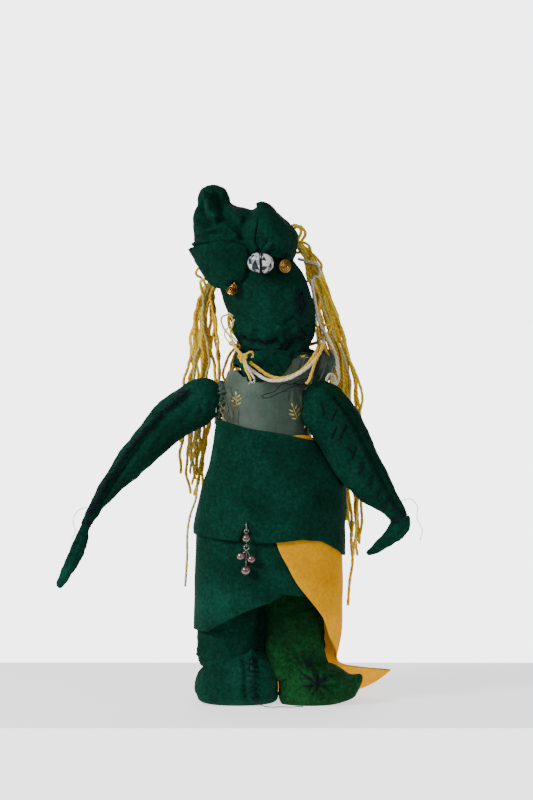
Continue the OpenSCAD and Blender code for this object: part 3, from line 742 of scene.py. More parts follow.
lobe = net([[(-0.5, -37.5, 302.8), (3.6, -36.5, 304), (9.5, -33, 303), (15, -27, 302),
    (19, -14, 301), (17.5, 10, 300), (6, 25, 299)], [(-4.6, -38, 312), (2, -38.5, 312.5),
    (10.5, -35.5, 311), (17.5, -27.5, 308), (21, -13, 307), (19.5, 11, 306), (7, 26, 305)],
    [(-3.6, -36.5, 321), (3.4, -36.5, 321.5), (11.6, -33, 319), (18.8, -25, 315), (22.6, -12, 314),
    (20.5, 11, 312), (7, 26, 311)], [(-3, -32, 331), (3, -32, 331), (10.6, -28.5, 328),
    (17.6, -21, 322), (22.6, -11, 318.4), (19, 10, 317), (6, 24, 316)], [(-4.6, -24, 338),
    (-0.5, -23.5, 339), (6, -21, 336), (14, -16, 328.5), (19, -10, 322), (16, 8, 321),
    (4, 21, 320)]], 80, 120)
side = surface("side_lobe_felt", lobe)
p = points_of(side)
near = np.clip(-(p[:, 1] + 10) / 8, 0, 1)
push(side, fbm(p, 12, 3, 9.5) * 0.8 + near * (creases(p, [([(-2, 304), (0, 309), (4, 314)],
    1.1, 1.0), ([(0, 303.5), (4, 307), (9, 309.5)], 1.1, 0.9), ([(-1, 305), (-3, 311), (-2.5, 317)],
    1.0, 1.0), ([(-1, 304), (2, 308.5), (6.5, 312.5)], -1.0, 0.8), ([(6, 334), (9, 326), (15, 318)],
    0.7, 2.4), ([(2, 304), (9, 306), (16, 305)], 0.8, 1.2)])))
solidify(side, 2.2, 0.0)
cloth(side, FELT, "felt_green", ["side_fold"], "head", flat=(0.085, 0.038),
    held="folded", rests_on=["headdress_dome"])


# ---------------------------------------------------------------- bead and eyes
def gem(name, centre, r, h, depth):
    """a bead cut in rows of facets"""
    rows = [(-h, 0.46, 0), (-h * 0.74, 0.78, 0.5), (-h * 0.28, 0.98, 0), (h * 0.28, 0.98, 0.5),
        (h * 0.74, 0.78, 0), (h, 0.46, 0.5)]
    n = 14
    verts, faces = [], []
    for z, k, ph in rows:
        for i in range(n):
            a = 2 * math.pi * (i + ph) / n
            verts.append((r * k * math.cos(a), r * k * math.sin(a) * depth, z))
    for j in range(len(rows) - 1):
        for i in range(n):
            a, b = j * n + i, j * n + (i + 1) % n
            c, d = a + n, b + n
            if rows[j][2]:
                faces += [(a, d, c), (a, b, d)]
            else:
                faces += [(a, b, c), (b, d, c)]
    faces += [tuple(range(n - 1, -1, -1)), tuple((len(rows) - 1) * n + i for i in range(n))]
    t = math.radians(-8)
    v = np.array(verts)
    v = np.stack([v[:, 0] * math.cos(t) - v[:, 2] * math.sin(t), v[:, 1],
        v[:, 0] * math.sin(t) + v[:, 2] * math.cos(t)], 1) + centre
    ob = mesh_object(name, metres(v), faces, smooth=False)
    # each facet gets a painted reflection: a random tone from near black to white, kept in the
    # facet attribute
    reflection_pick = random.Random(5)
    painted_reflection_tones = np.array([reflection_pick.choice((0.03, 0.12, 0.42, 0.78, 0.9, 0.95, 0.95))
        for _ in ob.data.polygons])
    layer = ob.data.attributes.new(name="facet", type="FLOAT", domain="FACE")
    layer.data.foreach_set("value", painted_reflection_tones)
    return ob


bead = gem("brow_bead", np.array([-1.5, -40.2, 299]), 8.9, 6.4, 0.6)
paint(bead, CRYSTAL)
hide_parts("crystal")
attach(bead, "head")


def turned(name, centre, turn, profile, nodes):
    """a small brass bead turned on its axis, which points to the front"""
    n, prof = 72, np.array(profile, float)
    a = np.linspace(0, 2 * np.pi, n, endpoint=False)
    t = math.radians(turn)
    g = np.zeros((len(prof), n, 3))
    for i, (r, d) in enumerate(prof):
        x, z, y = r * np.cos(a), r * np.sin(a), np.full(n, -d)
        g[i] = np.stack([x * math.cos(t) - y * math.sin(t), x * math.sin(t) + y * math.cos(t), z],
            1) + centre
    ob = surface(name, g, wrap=True, cap_low=True, cap_high=True)
    paint(ob, BRASS)
    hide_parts(*nodes)
    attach(ob, "head")


# the bead's outline from its back to its tip: radius, how far forward
EYE = [(0.3, -0.2), (3.9, -0.1), (4.4, 0.3), (4.6, 0.9), (4.4, 1.5), (3.9, 1.75), (3.5, 1.45),
    (3.3, 1.3), (3.1, 1.5), (2.8, 2.1), (2.4, 2.3), (2.1, 2.0), (1.95, 1.8), (1.8, 2.1), (1.5, 2.6),
    (1.2, 2.6), (1.0, 2.2), (0.95, 0.9), (0.2, 0.8)]
turned("eye_right_bead", (-20.6, -30.6, 282), -28, EYE, ["eye_button_right", "eye_ring_right"])
turned("eye_left_bead", (14.4, -30.4, 297), 26, EYE, ["eye_button_left", "eye_ring_left"])
for n in ("pendant_hook", "pendant_stem", "drop_wires"):
    cover(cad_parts[n], STEEL)
for n in ("pearl_top", "pearl_right", "pearl_left", "pearl_low"):
    cover(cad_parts[n], PEARL)

# ---------------------------------------------------------------- neck, collar and body
neck = round_form("neck_felt_form", [(217.6, 7.5, -1, 23.2, 22.6), (224, 7.8, -1, 22.4, 22),
    (232, 8.2, -1.2, 21.8, 21.6), (239, 8.5, -1.6, 22.2, 22), (244, 8.2, -2, 23.8, 23),
    (249, 8, -2.6, 26.3, 25), (253.5, 7.6, -3, 28, 26.4), (256.5, 7.2, -3, 28.2, 26.8),
    (258, 7, -3, 26, 25), (259, 7, -3, 20, 20)], 90, 170)
p = points_of(neck)
front = np.clip(-(p[:, 1] + 3) / 8, 0.15, 1)
up = np.clip((p[:, 2] - 240) / 10, 0, 1)
theta = np.arctan2(p[:, 1], p[:, 0] - 7.5)
push(neck, fbm(p, 8, 3, 2.2) * 0.9 + up * 0.7 * np.sin(theta * 17 + fbm(p, 9, 2, 5.0) * 3) + front
    * (creases(p, [([(-17, 250), (-8, 246), (2, 244.5), (12, 248)], 1.6, 1.5),
    ([(-16, 246), (-6, 242), (6, 241), (14, 243)], -1.5, 1.3), ([(-12, 240), (0, 237.5), (10, 240),
    (18, 246)], 1.5, 1.6), ([(26, 254), (21, 247), (16, 240), (14, 233)], 1.9, 1.6),
    ([(30, 250), (25, 243), (20, 236)], -1.6, 1.5), ([(-10, 233), (-2, 230), (6, 233)],
    1.0, 1.6)])))
cushion(neck, FELT, ["neck_felt", "neck_stuffing"])
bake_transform(neck)
neck_tree = bvh(neck)


def ring_sheet(name, rows, n, m, z_low, z_high, shape=None, d=None):
    """a sheet round the figure: rows from z_low(t) to z_high(t), d millimetres outside"""
    ts = -180.0 + np.arange(n) * 360.0 / n
    g = np.zeros((m, n, 3))
    for j, t in enumerate(ts):
        zl, zh = z_low(t), z_high(t)
        z = zl + (zh - zl) * np.linspace(0, 1, m)
        cx, cy, a, b = table(rows, z)
        f = np.linspace(0, 1, m)
        k = d(t, f) if d else 0.0
        c, s = math.cos(math.radians(t)), math.sin(math.radians(t))
        if shape:
            c, s = boxy(c, shape), boxy(s, shape)
        g[:, j] = np.stack([cx + (a + k) * c, cy + (b + k) * s, z], 1)
    return surface(name, g, wrap=True)


COLLAR = [(216, 8, -1, 30.5, 27), (222, 8, -1, 29, 26.8), (230, 8, -1, 27.5, 26),
    (240, 8, -1, 26.5, 25.4)]


def collar_low(t):
    """the bib's slanting lower edge, deepest to the right of the middle"""
    return np.interp(t, [-180, -160, -146, -128, -112, -84, -68, -54, -35, 0, 60, 120, 180],
        [230, 231, 228, 219.5, 219, 221.5, 230, 237, 238, 234, 228, 226, 230])


collar = ring_sheet("collar_felt", COLLAR, 200, 40, collar_low, lambda t: 239.5 + 1.2
    * math.sin(t / 20), d=lambda t, f: 0.2 + 0.5 * np.sin(np.radians(t * 5)) * (1 - f) + 0.4
    * np.sin(np.radians(t * 9 + 40)))
p = points_of(collar)
front = np.clip(-p[:, 1] / 10, 0, 1)
push(collar, fbm(p, 9, 3, 4.4) * 0.7 + front * (creases(p, [([(-14, 236), (-6, 231), (2, 229),
    (10, 230)], 1.0, 1.5), ([(8, 240), (12, 231), (16, 224)], 1.6, 1.8), ([(22, 240), (20, 230),
    (16, 223)], 1.4, 1.8)])))
solidify(collar, 1.7)
cloth(collar, FELT, "felt_green", ["collar"], "torso", flat=(0.165, 0.02),
    held="folded", rests_on=["bodice_satin"], area=0.0022)

YOKE = SOCK[:-1] + [(216, 3, 0, 28.5, 24.4), (224, 5.5, -0.6, 27.8, 24.6), (232, 7.5, -1, 26, 24),
    (240, 8, -1, 24.5, 23.6)]


def yoke_high(t):
    """the bodice's upper edge"""
    return np.interp(t, [-180, -150, -128, -84, -62, -42, -10, 40, 120, 180],
        [226, 227, 222, 225, 234, 239, 237, 230, 226, 226])


bodice = ring_sheet("bodice_satin", YOKE, 300, 90, lambda t: 177.0, yoke_high, d=lambda t, f: 1.1)
p = points_of(bodice)
front = np.clip(-p[:, 1] / 8, 0, 1)
pleats = creases(p, [([(22, 219), (23, 210), (25, 200),
    (26, 188)], 1.5, 1.3), ([(19, 219), (19, 212), (18, 205)], 0.9, 1.0),
    ([(25, 219), (28, 208), (29, 196)], 1.2, 1.3), ([(-22, 216), (-20, 205), (-21, 194)], 1.3, 1.1),
    ([(-25, 214), (-24, 204), (-24, 196)], 1.2, 0.9), ([(-18, 214), (-17, 209), (-18, 203)],
    0.6, 1.0), ([(33, 241), (29, 233), (27, 226)], 1.6, 1.2), ([(36, 238), (33, 230), (31, 222)],
    -1.4, 1.1), ([(29, 240), (25, 231), (24, 222)], 1.0, 1.0), ([(26, 228), (31, 225), (36, 226)],
    1.4, 1.0), ([(22, 222), (29, 220), (35, 221)], -1.3, 0.9), ([(20, 217), (28, 215), (34, 216)],
    1.2, 0.9), ([(27, 214), (26, 206), (28, 198)], -1.0, 1.0), ([(30, 212), (29, 202), (31, 192)],
    1.2, 0.9), ([(-3, 181), (8, 180), (20, 179)], -0.5, 1.5)])
push(bodice, front * pleats + fbm(p, 16, 2, 6.6) * 0.5)
solidify(bodice, 0.7)
cloth(bodice, SATIN, "satin", ["bodice"], "torso", flat=(0.175, 0.056),
    held="stretched", rests_on=["body_knit"])
bodice_tree = bvh(bodice)

sock = ring_sheet("body_knit", SOCK, 160, 60, lambda t: 104.0, lambda t: 216.0, d=lambda t, f: -0.6
    + 0.25 * math.sin(math.radians(t * 40)))
solidify(sock, 2.2)
cloth(sock, FELT_DEEP, "felt_green", ["body_sock"], "torso", flat=(0.19, 0.112),
    held="stretched", rests_on=["bodice_satin"])

# the seat: a padded half round the legs are sewn to
g = []
for f, z in ((0.2, 99.9), (0.75, 99.7), (0.95, 100.4), (1.0, 101.6), (0.95, 103), (0.75, 103.7),
    (0.2, 103.8)):
    ring = []
    for k in range(72):
        a = 2 * math.pi * k / 72
        x, y = 43 * math.cos(a), 31 * math.sin(a)
        y = min(y, 2.6)
        ring.append((3 + x * f, -12 + (y + 12) * f, z))
    g.append(ring)
seat = surface("seat_pad", np.array(g), wrap=True, cap_low=True, cap_high=True)
cushion(seat, FELT_DEEP, ["seat"], "torso")

# the ruffle of satin behind the left arm
g = []
for z, r in ((204, 2.4), (209, 4.4), (215, 6), (221, 7.4), (227, 8.4), (232, 8), (236, 6.4),
    (239, 3.6), (239.8, 1.4)):
    r *= 1.22
    cx = np.interp(z, [204, 223, 239], [31, 37, 41])
    ring = []
    for k in range(120):
        a = 2 * math.pi * k / 120
        w = 1 + 0.13 * math.sin(7 * a + z * 0.08) + 0.06 * math.sin(13 * a - z * 0.2)
        ring.append((cx + r * w * math.cos(a), 5.5 + r * 0.62 * w * math.sin(a),
            z + 0.8 * math.sin(5 * a)))
    g.append(ring)
rows = np.array(g)
dense = np.stack([spline(rows[:, k], 50) for k in range(rows.shape[1])], 1)
ruffle = surface("ruffle_satin", dense, wrap=True, cap_low=True, cap_high=True)
p = points_of(ruffle)
push(ruffle, fbm(p, 6, 3, 3.3) * 0.9)
cushion(ruffle, SATIN, ["shoulder_ruffle"], "torso")

# ---------------------------------------------------------------- skirts
HEM = [(-180, 116), (-150, 115), (-120, 113.5), (-90, 111.5), (-70, 113.5), (-50, 112), (-33, 107),
    (-10, 101), (30, 100), (90, 105), (180, 116)]


SLIT_ANGLE, SLIT_HEIGHT, SLIT_HALF = -102.2, 13, 6.0


def edge_at(hem, t):
    """the height of an edge given as (angle, height) pairs"""
    return np.interp(t, [a for a, _ in hem], [b for _, b in hem])


def wrap_low(t):
    """the wrap's hem, with the slit that the pendant hangs in"""
    return edge_at(HEM, t) + max(0.0, SLIT_HEIGHT - SLIT_HEIGHT * abs(t - SLIT_ANGLE) / SLIT_HALF)


def wrap_high(t):
    return 186 - 8 * math.cos(math.radians(t))


wrap = ring_sheet("wrap_felt", WRAP, 480, 110, wrap_low, wrap_high, shape=0.8, d=lambda t, f: -0.1
    + (1 - f) * 0.5 * np.sin(np.radians(t * 3 + 30)))
p = points_of(wrap)
push(wrap, fbm(p, 30, 2, 7.1) * 0.9)
solidify(wrap, 1.5)
cloth(wrap, FELT, "felt_green", ["wrap_skirt"], "torso", flat=(0.3, 0.08),
    held="hung", rests_on=["body_knit"])

LOW_HEM = [(-180, 51), (-160, 51), (-140, 51), (-120, 58), (-100, 66), (-90, 70), (-80, 77),
    (-60, 75), (0, 72), (50, 58), (70, 30), (110, 26), (140, 36), (160, 51), (180, 51)]
under = ring_sheet("under_felt", UNDER, 360, 90, lambda t: edge_at(LOW_HEM, t),
    lambda t: 150.0, shape=0.8)
p = points_of(under)
push(under, fbm(p, 26, 2, 3.7) * 0.5 - 0.2)
solidify(under, 1.4)
cloth(under, FELT, "felt_green", ["under_skirt"], "torso", flat=(0.3, 0.092),
    held="hung", rests_on=["body_knit"])

TRAIN = [(0, 88, 64, 18, 18), (1, 83, 61, 20, 17.5), (3, 77, 58, 20, 16), (7, 69, 54.5, 19, 13),
    (15, 59, 50.5, 17, 7), (27, 52, 46.8, 8, 0), (37, 50.8, 46.2, -11, 0), (47, 50.4, 46, -30, 0),
    (60, 50.4, 45, -47, 0), (80, 50.4, 42.4, -70, 0), (95, 50.2, 40, -80, 0),
    (108, 49.7, 38.7, -86, 0), (130, 48.9, 37.5, -90, 0), (148, 46.6, 35.4, -90, 0)]
rows = spline(TRAIN, 170)
n = 220
g = np.zeros((len(rows), n, 3))
for i, (z, a, b, start, curl) in enumerate(rows):
    f = np.linspace(0, 1, n)
    t = np.radians(start + (118 - start) * f)
    cx = table(WRAP, max(96, z))[0]
    up = curl * np.clip(1 - 3 * f, 0, 1) ** 2
    tuck = np.interp(z, [0, 3, 7, 15, 37, 47, 60], [0, 1, 2, 5, 5, 4, 0])
    a = a - max(0, a - 64) * np.minimum(1, 2.5 * f) - tuck * np.clip(1 - 4 * f, 0, 1)
    g[i] = np.stack([cx + (a - 0.6) * boxy(np.cos(t)), (b - 0.6) * boxy(np.sin(t)),
        max(0, z) + up + 1.2], 1)
train = surface("train_felt", g)
p = points_of(train)
push(train, fbm(p, 24, 2, 1.9) * 0.35 * np.clip(p[:, 2] / 20, 0, 1))
solidify(train, 1.2, 0.0)
cloth(train, YELLOW, "felt_yellow", ["yellow_train"], "torso", flat=(0.2, 0.19),
    held="hung", rests_on=["under_felt"], area=0.03)

# the sliver of yellow at the waist
g = []
for t in np.linspace(-66, -18, 40):
    col = []
    for f in np.linspace(0, 1, 8):
        z = wrap_high(t) + 2.6 * math.sin((t + 66) / 48 * math.pi) * f - 2 * (1 - f)
        cx, cy, a, b = table(WRAP, min(196, z))
        col.append((cx + (a - 1.9) * boxy(math.cos(math.radians(t))),
            cy + (b - 1.9) * boxy(math.sin(math.radians(t))), z))
    g.append(col)
waist = surface("waist_felt", np.array(g).transpose(1, 0, 2))
solidify(waist, 0.9)
cloth(waist, YELLOW, "felt_yellow", [], "torso", flat=(0.04, 0.01),
    held="hung", rests_on=["bodice_satin"], area=0.00015)


# ---------------------------------------------------------------- arms and hands
def ball_end(c, r, away):
    """stations that round off a limb's inner end"""
    return [(c[0] + r * math.sin(a) * away[0], c[1], c[2] + r * math.sin(a) * away[1],
        r * math.cos(a), r * math.cos(a)) for a in map(math.radians, (78, 55, 30))]


RIGHT_ARM = ball_end((-41, 0, 206), 15.3, (0.94, 0.34)) + [(-41, 0, 206, 15.3, 15.3),
    (-49, 0, 201.5, 15.8, 15.5), (-60, 0, 194, 15, 15), (-72, 0, 182.5, 13.3, 13),
    (-83, 0, 171, 11.8, 11.5), (-92, 0, 160.5, 10.4, 10), (-102, 0, 149, 7.6, 7.5),
    (-111, 0, 138, 5.4, 5.4), (-117, 0, 128, 4.6, 4.2), (-121, 0, 120, 3.4, 2.6)]
LEFT_ARM = ball_end((40, -15, 206), 13.6, (-0.5, 0.86)) + [(40, -15, 206, 15, 13),
    (42.8, -15.2, 200, 17, 13.6), (47.8, -15.5, 192, 17.6, 14), (55.6, -16, 178, 17.4, 14.5),
    (63.6, -16, 163, 16.6, 14), (73.8, -16, 149, 13.4, 12), (83.5, -16, 138.5, 9.6, 9),
    (89.5, -16, 131, 7, 6), (92.5, -16, 126, 5.4, 3.4)]

right_arm = limb_form("arm_right_form", RIGHT_ARM, 150, 96)
p = points_of(right_arm)
front = np.clip(-p[:, 1] / 5, -0.3, 1)
ridge = [(-50, 213), (-58, 207), (-68, 199), (-80, 186), (-92, 171), (-104, 153), (-113, 138),
    (-119, 126)]
push(right_arm, fbm(p, 14, 3, 1.3) * 1.1 + front * (crease(p, ridge, -2.6, 1.6, 0.08)
    + crease(p, [(x + 3.2, z - 2.6) for x, z in ridge],
    2.0, 1.6, 0.08) + gathers(p, ridge, 17, 3.6, 0.9, 31) + creases(p, [([(-56, 190), (-50, 196),
    (-46, 205)], 1.0, 1.8), ([(-62, 190), (-70, 178), (-74, 170)], 0.9, 2),
    ([(-84, 176), (-90, 165), (-96, 157)], 0.8, 1.6), ([(-48, 214), (-42, 205), (-40, 196)],
    0.9, 2)])) - 0.3)
cushion(right_arm, FELT, ["arm_felt_right", "arm_stuffing_right"], "arm_right")

left_arm = limb_form("arm_left_form", LEFT_ARM, 150, 96)
p = points_of(left_arm)
front = np.clip(-(p[:, 1] + 16) / 5, -0.3, 1)
seam = [(46, 212), (54, 203), (62, 190), (70, 174), (78, 158), (86, 144), (92, 133)]
push(left_arm, fbm(p, 15, 3, 5.9) * 1.1 + front * (crease(p, seam, 1.7, 1.4, 0.08)
    + crease(p, [(x - 3, z - 2) for x, z in seam],
    -1.2, 1.8, 0.08) + gathers(p, seam, 13, 3.2, 0.8, 17) + crease(p, [(80, 150), (84, 141),
    (90, 136)], 0.9, 1.4) + crease(p, [(38, 205), (43, 198), (49, 194)], 0.8, 1.8)) - 0.3)
cushion(left_arm, FELT, ["arm_felt_left", "arm_stuffing_left"], "arm_left")


def hand(name, stations, node_name, body, lines):
    """a flat hand of folded felt"""
    ob = limb_form(name, stations, 110, 60)
    q = points_of(ob)
    face = np.where(q[:, 1] < stations[3][1], 1.0, -0.6)
    push(ob, fbm(q, 5, 3, 2.7) * 0.5 + face * creases(q, lines))
    cushion(ob, FELT, [node_name], body)


hand("hand_right_felt", [(-119.5, 0, 121.5, 3.0, 2.6), (-121.6, 0, 117.5, 3.3, 2.3),
    (-124, -0.5, 110, 4.7, 2.1), (-127, -1.2, 102, 5.0, 2.0), (-131, -1.5, 94, 4.6, 1.9),
    (-135, -1.2, 86.5, 3.8, 1.8), (-138.6, -0.5, 80, 2.5, 1.6), (-139.6, -0.4, 78.6, 1.2, 1.2)],
    "hand_right", "palm_right", [([(-121, 117), (-125, 106), (-130, 94), (-136, 84)], -0.8, 1.0),
    ([(-124, 114), (-129, 103), (-133, 94)], 0.6, 1.1)])
hand("hand_left_felt", [(93.2, -16, 127.5, 5.4, 4), (93.6, -16, 123.6, 6.3, 3.4),
    (91, -16.4, 119, 6.6, 3.0), (86, -16.8, 113.8, 5.4, 2.5), (80.3, -17.1, 109.2, 4.1, 2.2),
    (75.2, -17, 105.5, 3.1, 1.9), (71.6, -16.6, 103.1, 1.9, 1.5), (70.4, -16.5, 102.4, 1, 1)],
    "hand_left", "palm_left", [([(94, 126), (89, 117), (82, 111), (74, 105)], -0.9, 1.1),
    ([(97, 123), (91, 114), (84, 109)], 0.7, 1.2), ([(89, 123), (85, 117), (80, 112)], 0.5, 1.0)])


def cap(name, centre, major, minor, tilt, node_name, body, seed):
    """the gathered satin roll between the bodice and an arm, with its frayed threads"""
    r = random.Random(seed)
    n, m = 200, 40
    g = np.zeros((m, n, 3))
    k = np.arange(n) * 2 * np.pi / n
    for j, b in enumerate(np.linspace(0, 2 * np.pi, m)):
        w = 1 + 0.2 * np.sin(19 * k + 2 * np.sin(b)) + 0.14 * np.sin(31 * k + b + seed)
        rr = minor * w
        ry, rz = major[0] + rr * math.cos(b), major[1] + rr * math.cos(b)
        g[j] = np.stack([centre[0] + rr * 1.1 * math.sin(b) + tilt * np.sin(k),
            centre[1] + ry * np.cos(k), centre[2] + rz * np.sin(k)], 1)
    ob = surface(name, g, wrap=True)
    q = points_of(ob)
    push(ob, fbm(q, 4, 3, seed) * 0.8)
    paint(ob, SATIN)
    fray = []
    for i in range(14):
        a = r.uniform(-2.2, 2.2) - math.pi / 2
        start = np.array([centre[0] + r.uniform(-2, 2),
            centre[1] + (major[0] + minor) * math.sin(a) * 0.9, centre[2] + major[1] * math.cos(a)])
        start[1] = centre[1] - abs(start[1] - centre[1])
        pts = [start]
        for _ in range(4):
            pts.append(pts[-1] + np.array([r.uniform(-1.6, 2.4), r.uniform(-1.2, 0.3),
                r.uniform(-5.5, -1.0)]))
        fray.append(strand(f"{name}_fray_{i}", spline(pts, 24),
            0.5, OLIVE if i % 3 else CREAM, plies=2, sides=5))
    ob = join(name, [ob] + fray)
    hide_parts(node_name)
    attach(ob, body)


cap("cap_right_satin", (-28.4, 0, 206.5), (6.4, 9),
    3.0, 0.6, "sleeve_cap_right", "shoulder_right", 4)
cap("cap_left_satin", (31.2, -13, 207), (4.4, 6.2), 2.4, 0.4, "sleeve_cap_left", "shoulder_left", 9)


# ---------------------------------------------------------------- legs and shoes
def leg(name, felt, seed, rows, nodes):
    """a stuffed leg, its hem sewn to the foot"""
    ob = round_form(name, rows, 100, 130)
    q = points_of(ob)
    low = np.clip((58 - q[:, 2]) / 24, 0, 1)
    push(ob, fbm(q, 13, 3, seed) * 1.2 + low * 0.45 * np.sin(q[:, 2] * 0.55 + fbm(q, 14, 2, seed)
        * 7) - 0.3)
    cushion(ob, felt, nodes)
    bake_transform(ob)
    return ob


leg("leg_right_form", FELT, 1.7, [(21, -23, -6, 8, 8),
    (23, -23, -6, 15, 15), (27, -23.5, -6, 19.5, 18.5), (34, -24, -6, 21, 19.6),
    (42, -24, -6, 21, 19.2), (52, -24, -6, 20.6, 18.8), (65, -23.5, -6, 20.2, 18.6),
    (80, -22.8, -6, 18.8, 18.4), (90, -22.5, -6, 14.5, 14.5), (95, -22.5, -6, 8.5, 8.5)],
    ["leg_felt_right", "leg_stuffing_right"])
leg_l = leg("leg_left_form", MOSS, 4.1, [(14, 24, -7, 8, 8),
    (16, 24, -7, 16, 15), (20, 23.5, -7, 21, 19.2), (27, 22.5, -6.5, 22, 20),
    (36, 21.5, -6, 21.3, 19.6), (50, 21.5, -6, 20.8, 18.8), (62, 21, -6, 20, 18.4),
    (76, 20, -6, 18.2, 18), (88, 20, -6, 14.5, 14.5), (95, 20, -6, 7.5, 7.5)],
    ["leg_felt_left", "leg_stuffing_left"])


def stand(ob):
    """flattens what would go below the floor"""
    q = points_of(ob)
    q[:, 2] = np.maximum(q[:, 2], 0.05)
    move_to(ob, q)


RIGHT_SHOE = [(0, -17, -6, 21, 17), (1.2, -17, -6, 25.4, 21), (4, -17.3, -6, 27.8, 24.5),
    (9, -18, -6, 28.6, 26), (15, -17.6, -6, 28.6, 26.2), (21, -16.6, -6.4, 27, 25.4),
    (27, -15, -7, 23.5, 23.5), (32, -13.6, -7.6, 18.5, 20), (35.5, -12.6, -8, 12, 14),
    (37, -12.4, -8, 6, 8)]
shoe_r = round_form("shoe_right_form", RIGHT_SHOE, 80, 140)
p = points_of(shoe_r)
front = np.clip(-(p[:, 1] + 5) / 6, 0, 1)
keep = np.clip(p[:, 2] / 6, 0, 1)
pucker = np.sin(p[:, 2] * 1.5 + fbm(p, 6, 2, 3.0) * 3) * np.exp(-((p[:, 0] + 8) / 6.5) ** 2)
push(shoe_r, keep * (fbm(p, 12, 3, 2.9) * 1.3 + front * (creases(p, [([(-9, 36), (-8, 25), (-8, 13),
    (-7, 2)], -3.2, 2.0, 0.05), ([(-12.5, 34), (-12, 24), (-12, 13), (-11, 3)], 2.2, 1.6, 0.05),
    ([(-4.5, 34), (-4, 24), (-4, 13), (-3, 3)], 2.0, 1.6, 0.05), ([(-40, 22), (-28, 25), (-16, 30)],
    0.9, 2.0), ([(-14, 12), (-24, 9), (-34, 9)], -0.8, 1.8), ([(-13, 22), (-22, 20), (-30, 18)],
    -0.7, 1.6)]) + gathers(p, [(-9, 35), (-8, 25), (-8, 13), (-7, 3)],
    13, 4.0, 0.8, 23) + 1.0 * pucker) + 2.6 * np.exp(-((p[:, 0] + 8) / 4) ** 2
    - ((p[:, 2] - 37) / 5) ** 2 - ((p[:, 1] + 20) / 7) ** 2)))
stand(shoe_r)
cushion(shoe_r, FELT, ["shoe_right", "shoe_stuffing_right"], "foot_right")

LEFT_SHOE = [(0, 31.2, -9, 18.6, 15), (1.2, 33.2, -9, 21.4, 17.5), (4, 35.8, -9, 25, 19.5),
    (9, 37.4, -9, 27.4, 21), (14, 37.6, -9, 27.4, 21), (19, 35.5, -9, 24.8, 20.6),
    (24, 32, -9, 20.5, 19.6), (28, 29.5, -9, 14, 15), (30, 28.5, -9, 7, 8)]
shoe_l = round_form("shoe_left_form", LEFT_SHOE, 80, 140)
p = points_of(shoe_l)
front = np.clip(-(p[:, 1] + 9) / 6, 0, 1)
keep = np.clip(p[:, 2] / 6, 0, 1)
star = np.hypot(p[:, 0] - 37, p[:, 2] - 15)
ang = np.arctan2(p[:, 2] - 15, p[:, 0] - 37)
push(shoe_l, keep * (fbm(p, 11, 3, 7.7) * 0.9 + front * (-3.2 * np.exp(-(star / 3) ** 2) + 1.4
    * np.sin(7 * ang) * np.exp(-((star - 7) / 5) ** 2) + creases(p, [([(27, 26), (32, 21),
    (36, 16)], -1.4, 1.6), ([(37, 15), (46, 18), (56, 18)], -1.4, 1.6), ([(46, 24), (50, 16),
    (54, 6)], 1.0, 1.8)])) + gathers(p, [(37, 24), (46, 15), (38, 7), (29, 14), (36, 24)],
    11, 4.5, 0.9, 41) * front + 5.5 * np.exp(-((p[:, 0] - 64) / 4) ** 2 - ((p[:, 2]
    - 17) / 3.4) ** 2 - ((p[:, 1] + 9) / 6) ** 2)))
stand(shoe_l)
cushion(shoe_l, MOSS, ["shoe_left", "shoe_stuffing_left"], "foot_left")

# ---------------------------------------------------------------- hair
HAIR_RIGHT = [(-34, 6, 287, 3, 3), (-38, 9, 280, 6, 4), (-41, 12, 268, 8, 4.5),
    (-42.5, 16, 248, 11, 4.5), (-43, 21, 228, 12.5, 4.5), (-44, 25.5, 208, 12, 4.5),
    (-46, 26, 184, 11, 4.5), (-48, 26, 160, 8.5, 4), (-47.5, 25, 138, 6, 3)]
HAIR_LEFT = [(24, 6, 312, 3, 3), (31, 8, 303, 4, 3), (36, 10, 292, 6, 4), (40, 12, 276, 7, 4),
    (46, 16, 252, 8.5, 4.5), (53, 20, 228, 9, 4.5), (56, 23, 205, 9, 4.5), (59, 25, 180, 9, 4.5),
    (61, 25.5, 150, 8.5, 4.5), (63, 25, 120, 7.5, 4), (63, 24, 96, 5, 3)]
HAIR_BACK = [(-4, 30, 300, 14, 2.6), (0, 33, 281, 22, 2.8), (2, 33.5, 266, 27, 3),
    (5, 33, 246, 30, 3), (6, 33, 226, 31, 3), (6, 36, 206, 31, 3), (6, 39, 186, 30, 3),
    (6, 42.3, 164, 27, 3), (6, 43.8, 148, 22, 2.6)]


